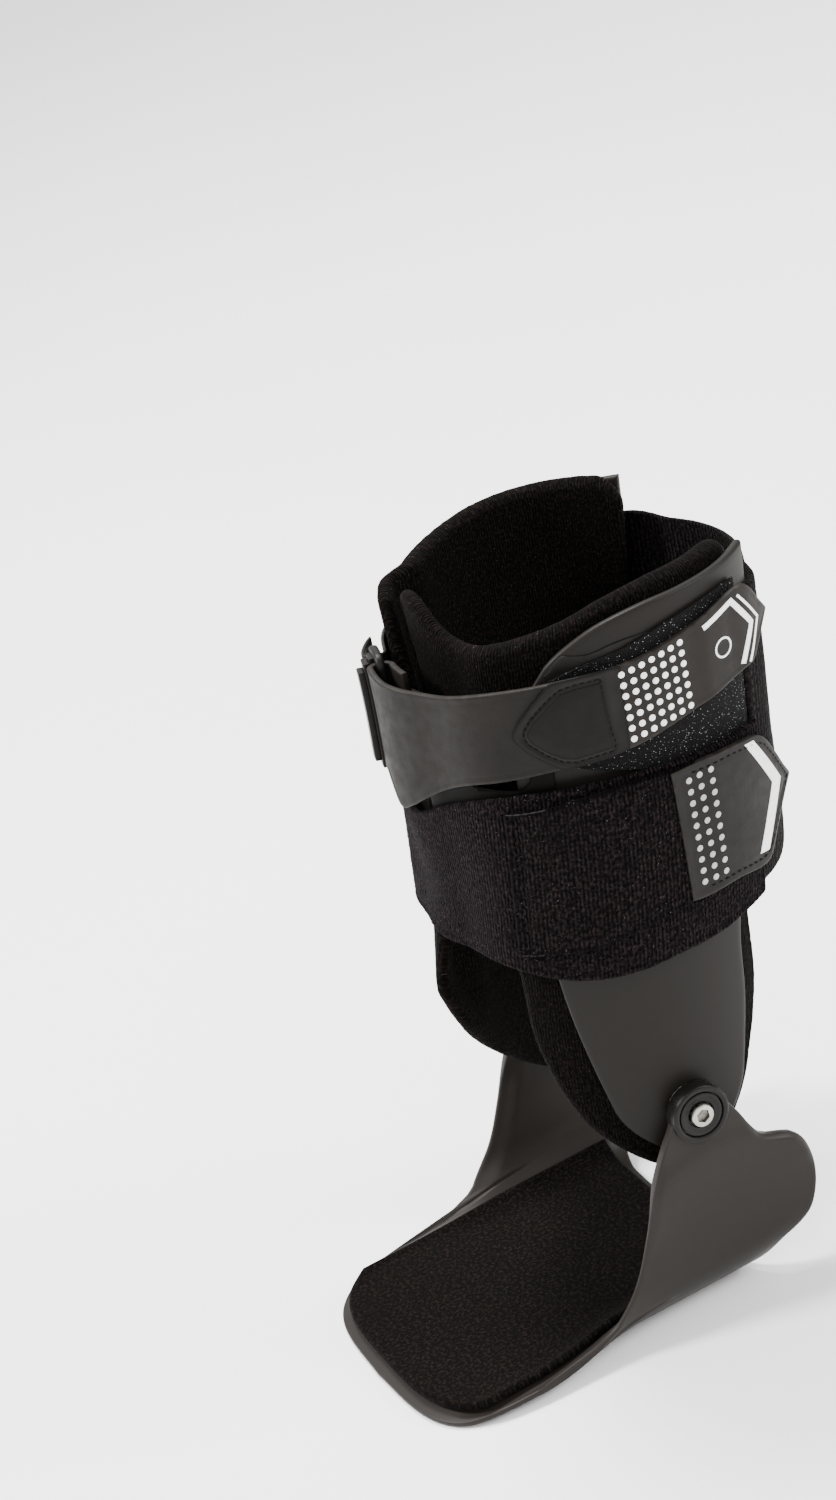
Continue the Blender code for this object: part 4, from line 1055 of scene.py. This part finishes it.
def build_lower_tab():
    u, v = np.meshgrid(spaced(42.0, 0.9, 0.5), spaced(38.0, 0.9, 0.5))
    start = 2.7 - 3.9 * v
    angle = start + (45.0 - start) * u
    low, high = along(LOWER_TAB_LOW, np.maximum(angle, 2.6)), along(LOWER_TAB_HIGH, angle)
    spots = (angle, low + (high - low) * v)

    def moulded(arc, up, edge):
        """A raised border strip with a stitch channel inside it."""
        return 0.18 * ease((1.5 - edge) / 0.4) - 0.2 * ridge(edge, 2.4, 0.4)

    tab = panel("lower_tab_rubber_end", spots, lower_tab_face, lower_tab_thickness, lower_tab_coat, 0.25,
                relief=moulded)
    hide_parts("lower_tab")
    border = [(8.0, 65.0), (18.0, 65.4), (28.2, 64.7), (31.6, 66.0), (42.6, 81.8), (30.6, 96.2), (27.0, 97.9),
              (17.0, 98.7), (3.6, 98.2)]
    pieces = [tab, sew("lower_tab_stitches", border, lower_tab_face, black_thread, length=1.3, pitch=1.9,
                       radius=0.2)]
    columns = [((2.5, 97.2), (5.2, 67.7)), ((5.7, 97.8), (8.6, 67.9)), ((9.2, 98.1), (12.0, 68.3))]
    last = 9
    spots = [tuple(np.add(np.multiply(top, last - k), np.multiply(bottom, k)) / last + DOT_SHIFT)
             for top, bottom in columns for k in range(last + 1)]
    pieces.append(dots("lower_tab_dots", spots, lower_tab_face, 0.86, grey_ink))
    chevron = ([(26.1, 99.0), (38.4, 83.3), (30.5, 66.0)], [(22.4, 99.2), (33.6, 83.9), (26.4, 66.6)])
    pieces.append(stripe("lower_tab_chevron", chevron, lower_tab_face, white_ink))
    for piece in pieces:
        bend_with_tab(piece, LOWER_TAB_ROOT, LOWER_BEND_END, 80, 5.8)


# Upper strap

RING_ANGLE, RING_BARS_APART, RING_BAR_RADIUS, RING_OFFSET = -103.5, 12.0, 1.2, 3.9
RING_LOW, RING_HIGH = 95.0, 129.8
RING_STRAP_LOW, RING_STRAP_HIGH = 98.6, 127.3
DEGREES_PER_MM = 57.3 / 55.0
FOLD_RADIUS = 2.95
PRINTED_FROM = -13.0  # the angle where the strap's lighter printed end starts
STRAP_HIGH = [(-97, 127.4), (-91, 125.6), (-84.5, 125.2), (-74, 125.4), (-65, 125.9), (-50, 128.2),
              (-38, 129.5), (-27, 130.5), (-16, 131), (-5, 132.2), (8, 134.9), (15, 136.8),
              (23, 138.9), (31, 140.4), (34.5, 138), (38, 133.9), (42, 129.9)]
STRAP_LOW = [(-97, 98.6), (-92, 90), (-85, 91.4), (-79, 94.3), (-69, 98.6), (-58, 102), (-42, 104.7),
             (-30, 106.4), (-19, 107.3), (-8, 108.8), (5, 112), (12, 113.7), (21.5, 116),
             (29, 117.8), (33, 119.2), (37, 124), (42, 129.3)]


def strap_middle(angle):
    over_anchor = ANCHOR_OUTER + 1.2 + STRAP_THICKNESS / 2
    on_hooks = HOOK_OUTER + GAP + STRAP_THICKNESS / 2
    at_ring = RING_OFFSET + FOLD_RADIUS
    offset = over_anchor + (at_ring - over_anchor) * ease((-angle - 64) / 34)
    offset = offset + (on_hooks - over_anchor) * ease((angle + 33) / 16)
    return offset + 0.8 * ease((angle - UPPER_TAB_ROOT) / 7) + 1.2 * ease((angle - 24) / 9)


def strap_face(angle, height):
    return strap_middle(angle) + STRAP_THICKNESS / 2


def ring_bar_angle(bar):
    return RING_ANGLE + bar * RING_BARS_APART / 2 * DEGREES_PER_MM


def fold_stations(bar):
    """Half a turn round one bar of the ring: bar is +1 for the strap's bar, -1 for the keeper's."""
    turns = np.linspace(0, math.pi, 37)
    swing = FOLD_RADIUS * np.sin(turns) * DEGREES_PER_MM
    return np.stack([ring_bar_angle(bar) - bar * swing, RING_OFFSET - FOLD_RADIUS * np.cos(turns)], -1)


def build_upper_strap():
    start = ring_bar_angle(1)
    tail = [(start + reach, RING_OFFSET - FOLD_RADIUS) for reach in (11, 10.9, 10.6, 10, 8, 6, 4, 2, 1)]
    fold = fold_stations(1)
    over = np.concatenate([np.arange(start + 0.6, 40.5, 0.8), [41.0, 41.4, 41.7, 41.9, 42.0]])
    path = np.concatenate([tail, fold, np.stack([over, strap_middle(over)], -1)])
    folded = np.arange(len(path)) < len(tail) + len(fold)
    low = np.where(folded, RING_STRAP_LOW, along(STRAP_LOW, path[:, 0]))
    high = np.where(folded, RING_STRAP_HIGH, along(STRAP_HIGH, path[:, 0]))

    def edge_bead(arc, up, edge):
        """A fine welt along both edges."""
        return 0.1 * ease((1.3 - edge) / 0.5) - 0.08 * ridge(edge, 1.7, 0.3)

    strap = ribbon("coated_upper_strap", path, low, high, STRAP_THICKNESS, strap_coat, 1.0, 0.5,
                   relief=edge_bead)
    strap.data.materials.append(printed_coat)
    printed_from = to_world(skin(PRINTED_FROM, 120.0, float(strap_middle(PRINTED_FROM))))[1]
    for polygon in strap.data.polygons:
        polygon.material_index = int(polygon.center.y > printed_from)
    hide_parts("upper_strap", "upper_tab")
    corners = np.array([[(-10.6, 129.1), (7.3, 132.8)], [(-9.2, 111.0), (8.6, 114.9)]])
    spots = []
    for row in range(7):
        left, right = (corners[0] * (6 - row) + corners[1] * row) / 6
        spots += [tuple(left + (right - left) * k / 6) for k in range(7)]
    grid = dots("upper_strap_dots", spots, strap_face, 0.88, white_ink)
    dress(grid, "cuff", "coated_strap")
    thick = mitred([(14.8, 134.2), (25.9, 137.6), (32.6, 129.4), (28.0, 119.4)], 1.5)
    thin = mitred([(28.3, 138.4), (35.9, 129.7), (30.6, 119.0)], 0.7)
    pieces = [strap, stripe("upper_tab_chevron", thick, strap_face, white_ink),
              stripe("upper_tab_chevron_thin", thin, strap_face, white_ink)]
    around = [(21.3 + 2.5 * math.cos(turn) / ARC, 126.6 + 2.5 * math.sin(turn))
              for turn in np.linspace(0, 2 * math.pi, 33)[:-1]]
    pieces.append(dots("upper_tab_ring_mark", around, strap_face, 0.32, white_ink))
    for piece in pieces:
        bend_with_tab(piece, UPPER_TAB_ROOT, UPPER_BEND_END, 125, 2.4)


OVERLAY_LOW = [(-41.9, 116.6), (-41.5, 115.7), (-38.1, 112.2), (-33.4, 109.1), (-29.7, 107.0), (-28.5, 106.6)]
OVERLAY_HIGH = [(-41.9, 116.9), (-41.6, 117.8), (-40.1, 120.4), (-37.0, 123.9), (-33.1, 127.9),
                (-30.1, 130.6), (-28.5, 131.0)]
STITCH_LOOP = [(-16.5, 129.5), (-23.6, 129.2), (-27.8, 128.5), (-31.7, 125.7), (-36.2, 121.5), (-38.6, 118.2),
               (-38.7, 116.4), (-37.6, 114.6), (-33.1, 111.2), (-29.0, 108.9), (-25.5, 108.2), (-15.4, 109.2),
               (-14.3, 110.8), (-15.4, 116.4), (-16.1, 122.8), (-16.5, 129.5)]
INLAY_LOW = [(-37.9, 117.0), (-36.9, 115.0), (-32.8, 112.0), (-28.7, 109.8), (-25.5, 109.1), (-15.2, 110.2)]
INLAY_HIGH = [(-37.9, 117.6), (-35.6, 120.8), (-31.2, 124.8), (-27.5, 127.6), (-23.6, 128.3), (-16.8, 128.6)]
OVERLAY_RISE = 0.8
POINT_END = -28.5  # the angle where the point meets the strap's own edges


def overlay_face(angle, height):
    """The strap's printed end laps over its plain end with a sewn point, and runs out flush."""
    return strap_face(angle, height) + 0.04 + (OVERLAY_RISE - 0.04) * ease((-11.5 - angle) / 5)


def loop_distance(arc, up, line):
    """How far spots are from a line of (angle, height) corners."""
    spots = np.stack([arc, up], -1)
    nearest = np.full(arc.shape, 1e9)
    corners = np.array([(angle * ARC, height) for angle, height in line])
    for start, end in zip(corners, corners[1:]):
        way = end - start
        share = np.clip(((spots - start) @ way) / (way @ way), 0, 1)
        nearest = np.minimum(nearest, np.linalg.norm(spots - start - share[..., None] * way, axis=-1))
    return nearest


def build_patch():
    def low(angle):
        return np.where(angle < POINT_END, np.interp(angle, *np.array(OVERLAY_LOW).T),
                        along(STRAP_LOW, angle) + 0.1)

    def high(angle):
        rise = 0.6 * ease((-10 - angle) / 6)
        return np.where(angle < POINT_END, np.interp(angle, *np.array(OVERLAY_HIGH).T),
                        along(STRAP_HIGH, angle) + rise)

    def relief(arc, up, edge):
        """A sewn channel, and a low bead along the cut edge."""
        return 0.08 * ease((1.2 - edge) / 0.4) - 0.45 * ridge(loop_distance(arc, up, STITCH_LOOP), 0, 0.45)

    spots = band_spots((-41.9, -10.5), low, high, (27, 24), 0.45, 0.3)
    patch = panel("strap_overlay", spots, overlay_face,
                  lambda a, h: overlay_face(a, h) - strap_face(a, h) + 0.1, tab_coat, 0.06, relief=relief)
    start, end = -37.9, -14.9
    u, v = np.meshgrid(spaced(20, 0.5, 0.3), spaced(18, 0.5, 0.3))
    angle = start + (end - 1.8 * v - start) * u
    lower, upper = (np.interp(angle, *np.array(line).T) for line in (INLAY_LOW, INLAY_HIGH))
    inlay = panel("strap_overlay_inlay", (angle, lower + (upper - lower) * v),
                  lambda a, h: overlay_face(a, h) + 0.1, constant(0.3), patch_coat, 0.1,
                  relief=lambda arc, up, edge: 0.15 * ease(edge / 3))
    stitches = sew("strap_overlay_stitches", STITCH_LOOP, lambda a, h: overlay_face(a, h) - 0.32, black_thread,
                   length=1.25, pitch=1.7, radius=0.2)
    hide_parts("strap_patch")
    for piece in (patch, inlay, stitches):
        dress(piece, "cuff", "coated_strap")


# Anchor, ring, keeper and rivets

def build_anchor():
    spots = band_spots((-84, -32.5), lambda a: 87.0 + 0.09 * (a + 84), lambda a: along(STRAP_HIGH, a) - 2.0,
                       (48, 38), 1.1, 0.3)
    anchor = panel("anchor_moulding", spots, constant(ANCHOR_OUTER), constant(ANCHOR_THICKNESS),
                   anchor_painted_shade_plastic, 0.25)
    bm = bmesh.new()
    middle = skin(-51, 109, 0)
    turn = Matrix.Translation(middle) @ Matrix.Rotation(math.radians(-51), 4, "Z")
    bmesh.ops.create_cube(bm, size=1.0, matrix=turn @ Matrix.Diagonal((20, 19.8, 18, 1)))
    rounded = [edge for edge in bm.edges if abs((edge.verts[0].co - edge.verts[1].co).z) < 1e-3
               and abs((edge.verts[0].co - edge.verts[1].co).length - 20) < 1e-2]
    bmesh.ops.bevel(bm, geom=rounded, offset=5, segments=10, affect="EDGES", profile=0.5)
    bm.verts.index_update()
    verts = np.array([vert.co for vert in bm.verts])
    faces = [[vert.index for vert in face.verts] for face in bm.faces]
    bm.free()
    cut(anchor, make_piece("window", to_world(verts), faces, None))
    dress(anchor, "cuff", "moulded_plastic", "strap_anchor")


# Outer face, thickness, half width and distance from the ring's ends, from the skin outwards
RING_PLATES = ((4.4, 1.7, 2.3, 1.1), (6.2, 1.9, 2.4, 1.4), (8.0, 1.9, 2.4, 2.6), (9.7, 1.8, 2.1, 4.8))


def build_ring():
    """A rounded rectangular loop of moulded rod with a squared section, under a stack of four plates."""
    up_half, corner = (RING_HIGH - RING_LOW) / 2 - RING_BAR_RADIUS, 2.4
    low = skin(ring_bar_angle(-1), RING_LOW + RING_BAR_RADIUS, RING_OFFSET)
    other = skin(ring_bar_angle(1), RING_LOW + RING_BAR_RADIUS, RING_OFFSET)
    high = skin(ring_bar_angle(-1), RING_HIGH - RING_BAR_RADIUS, RING_OFFSET)
    far = skin(ring_bar_angle(1), RING_HIGH - RING_BAR_RADIUS, RING_OFFSET)
    centre = (low + other + high + far) / 4
    across, up = unit(other - low), unit(high - low)
    out = unit(np.cross(across, up))
    across_half = np.linalg.norm(other - low) / 2
    line = []
    for sx, sy, first in ((1, 1, 0.0), (-1, 1, 90.0), (-1, -1, 180.0), (1, -1, 270.0)):
        for turn in np.radians(first + np.linspace(0, 90, 9)):
            line.append(((across_half - corner) * sx + corner * math.cos(turn),
                         (up_half - corner) * sy + corner * math.sin(turn)))
    line = np.array(line)
    ahead = unit(np.roll(line, -1, axis=0) - np.roll(line, 1, axis=0))
    sideways = np.stack([ahead[:, 1], -ahead[:, 0]], -1)
    turns = round_turn(20)
    wide = np.sign(np.cos(turns)) * np.abs(np.cos(turns)) ** 0.7 * RING_BAR_RADIUS
    tall = np.sign(np.sin(turns)) * np.abs(np.sin(turns)) ** 0.7 * RING_BAR_RADIUS
    verts = []
    for point, side_way in zip(line, sideways):
        flat = point[None] + side_way[None] * wide[:, None]
        verts.append(centre + flat[:, :1] * across + flat[:, 1:] * up + tall[:, None] * out)
    ring = make_piece("strap_ring_loop", to_world(np.concatenate(verts)),
                      tube_faces(len(line), len(turns), closed=True), ring_plastic)
    for k, (top, thickness, half, inset) in enumerate(RING_PLATES):
        half = half * DEGREES_PER_MM
        middle = RING_ANGLE - 0.15
        spots = band_spots((middle - half, middle + half), lambda a: RING_LOW + inset + 0 * a,
                           lambda a: RING_HIGH - inset + 0 * a, (2 * half, RING_HIGH - RING_LOW), 1.2, 0.3)
        plate = panel("strap_ring_plate_%d" % (k + 1), spots, constant(top), constant(thickness),
                      ring_plastic, 0.35)
        dress(plate, "strap_ring", "moulded_plastic")
    dress(ring, "strap_ring", "moulded_plastic", "strap_ring")


def build_keeper():
    start = 180 + ring_bar_angle(-1)
    inner = RING_OFFSET - FOLD_RADIUS
    flat = ANCHOR_OUTER - ANCHOR_THICKNESS / 2
    first = np.concatenate([[-35.5, -35.7, -36.0], np.arange(-36.8, -65.5, -0.9)])
    flank = inner + (flat - inner) * ease((-first - 50) / -14)
    stations = fold_stations(-1)
    fold = np.stack([-180 - stations[:, 0], stations[:, 1]], -1)
    last_angle, last_offset = fold[-1]
    reach = np.array([1, 2, 3.5, 5, 6.5, 8, 9.5, 11, 11.6, 12.0])
    tail = np.stack([last_angle + reach, last_offset - 2.6 * (reach / 12) ** 1.3], -1)
    path = np.concatenate([np.stack([first, flank], -1), fold, tail])
    low, high = np.full(len(path), RING_STRAP_LOW), np.full(len(path), RING_STRAP_HIGH)
    keeper = ribbon("ring_keeper_strap", path, low, high, ANCHOR_THICKNESS, strap_coat, 1.2, 0.3, side=MEDIAL)
    dress(keeper, "cuff", "coated_strap", "ring_keeper")


def build_rivets():
    top = ANCHOR_OUTER + GAP
    profile = [(0.2, -2.2), (1.2, -2.2), (1.2, top), (2.5, top), (2.52, top + 0.12), (2.42, top + 0.32),
               (2.05, top + 0.5), (1.5, top + 0.6), (0.7, top + 0.62), (0.5, top + 0.5), (0.1, top + 0.46)]
    for word, height in (("upper", 121.0), ("lower", 108.5)):
        for place, angle, side in (("anchor", -37.0, LATERAL), ("keeper", -40.0, MEDIAL)):
            node = word + "_" + place + "_rivet"
            frames = [frame_on(angle, height, constant(0.0), side)]
            rivet = scatter(node + "_dome", lathe(profile, 40), frames, steel)
            rivet.data.set_sharp_from_angle(angle=math.radians(38))
            dress(rivet, "cuff", "stainless", node)


def finish_cad_nodes():
    """Parts whose own shape is right get a finished material."""
    for words, material in (("friction_washer", washer_plastic), ("sleeve_nut", steel_hidden),
                            ("hook_patch", hook_tape_hidden)):
        for name, node in frame["nodes"].items():
            if name.endswith(words):
                for place in node.material_slots:
                    place.material = material


build_footplate()
build_sole_pad()
build_hinges()
for side, word in ((LATERAL, "lateral"), (MEDIAL, "medial")):
    build_shell(side, word)
    build_liner(side, word)
    build_hook_field(side, word)
build_calf_panel()
build_wrap()
build_lower_strap()
build_lower_tab()
build_ring()
build_upper_strap()
build_patch()
build_anchor()
build_keeper()
build_rivets()
finish_cad_nodes()


# Floor, light and camera

def build_floor():
    bm = bmesh.new()
    bmesh.ops.create_grid(bm, x_segments=4, y_segments=4, size=6.0)
    mesh = bpy.data.meshes.new("floor")
    bm.to_mesh(mesh)
    bm.free()
    floor = bpy.data.objects.new("floor", mesh)
    floor.location.z = -0.0003
    material, tree, shader, flat, _ = begin("studio_floor", "object", 0.6, Specular_IOR_Level=0.2)
    tone = blend_colors(tree, cloud(tree, flat, 0.004, 2.0), (0.93, 0.93, 0.93), (0.95, 0.95, 0.95))
    tree.links.new(tone, shader.inputs["Base Color"])
    mesh.materials.append(material)
    bpy.context.scene.collection.objects.link(floor)


LIGHT_TARGET = (0.0, 0.0, 0.11)


def area_light(name, place, size, power):
    light = bpy.data.lights.new(name, "AREA")
    light.shape = "DISK"
    light.size = size
    light.energy = power
    lamp = bpy.data.objects.new(name, light)
    lamp.location = place
    lamp.rotation_euler = (Vector(LIGHT_TARGET) - Vector(place)).to_track_quat("-Z", "Y").to_euler()
    bpy.context.scene.collection.objects.link(lamp)


CAMERA_PLACE = (0.8383, -0.2916, 0.6098)
CAMERA_HEADING, CAMERA_ELEVATION, CAMERA_ROLL = -17.42, 26.64, -17.86  # degrees


def build_camera():
    """A camera in front of the lateral side, looking down and rolled, with a 60.8 mm lens."""
    heading, elevation = math.radians(CAMERA_HEADING), math.radians(CAMERA_ELEVATION)
    camera = bpy.data.cameras.new("camera")
    camera.sensor_fit = "VERTICAL"
    camera.sensor_height = 24.0
    camera.lens = 60.8
    camera.clip_start = 0.01
    place = bpy.data.objects.new("camera", camera)
    place.matrix_world = (Matrix.Translation(CAMERA_PLACE) @ Matrix.Rotation(heading + math.pi / 2, 4, "Z")
                          @ Matrix.Rotation(math.pi / 2 - elevation, 4, "X")
                          @ Matrix.Rotation(math.radians(CAMERA_ROLL), 4, "Z"))
    bpy.context.scene.collection.objects.link(place)
    bpy.context.scene.camera = place


def light_scene():
    world = bpy.data.worlds.new("studio")
    world.use_nodes = True
    world.node_tree.nodes["Background"].inputs["Color"].default_value = (1.0, 1.0, 1.0, 1.0)
    world.node_tree.nodes["Background"].inputs["Strength"].default_value = 1.05
    bpy.context.scene.world = world
    area_light("key", (-0.40, -0.85, 1.05), 0.38, 32.0)
    area_light("front", (1.05, -0.55, 0.85), 0.9, 8.0)
    area_light("side", (0.7, 1.1, 0.8), 0.6, 22.0)
    area_light("top", (-0.55, 0.15, 1.3), 0.5, 38.0)


build_floor()
light_scene()
build_camera()
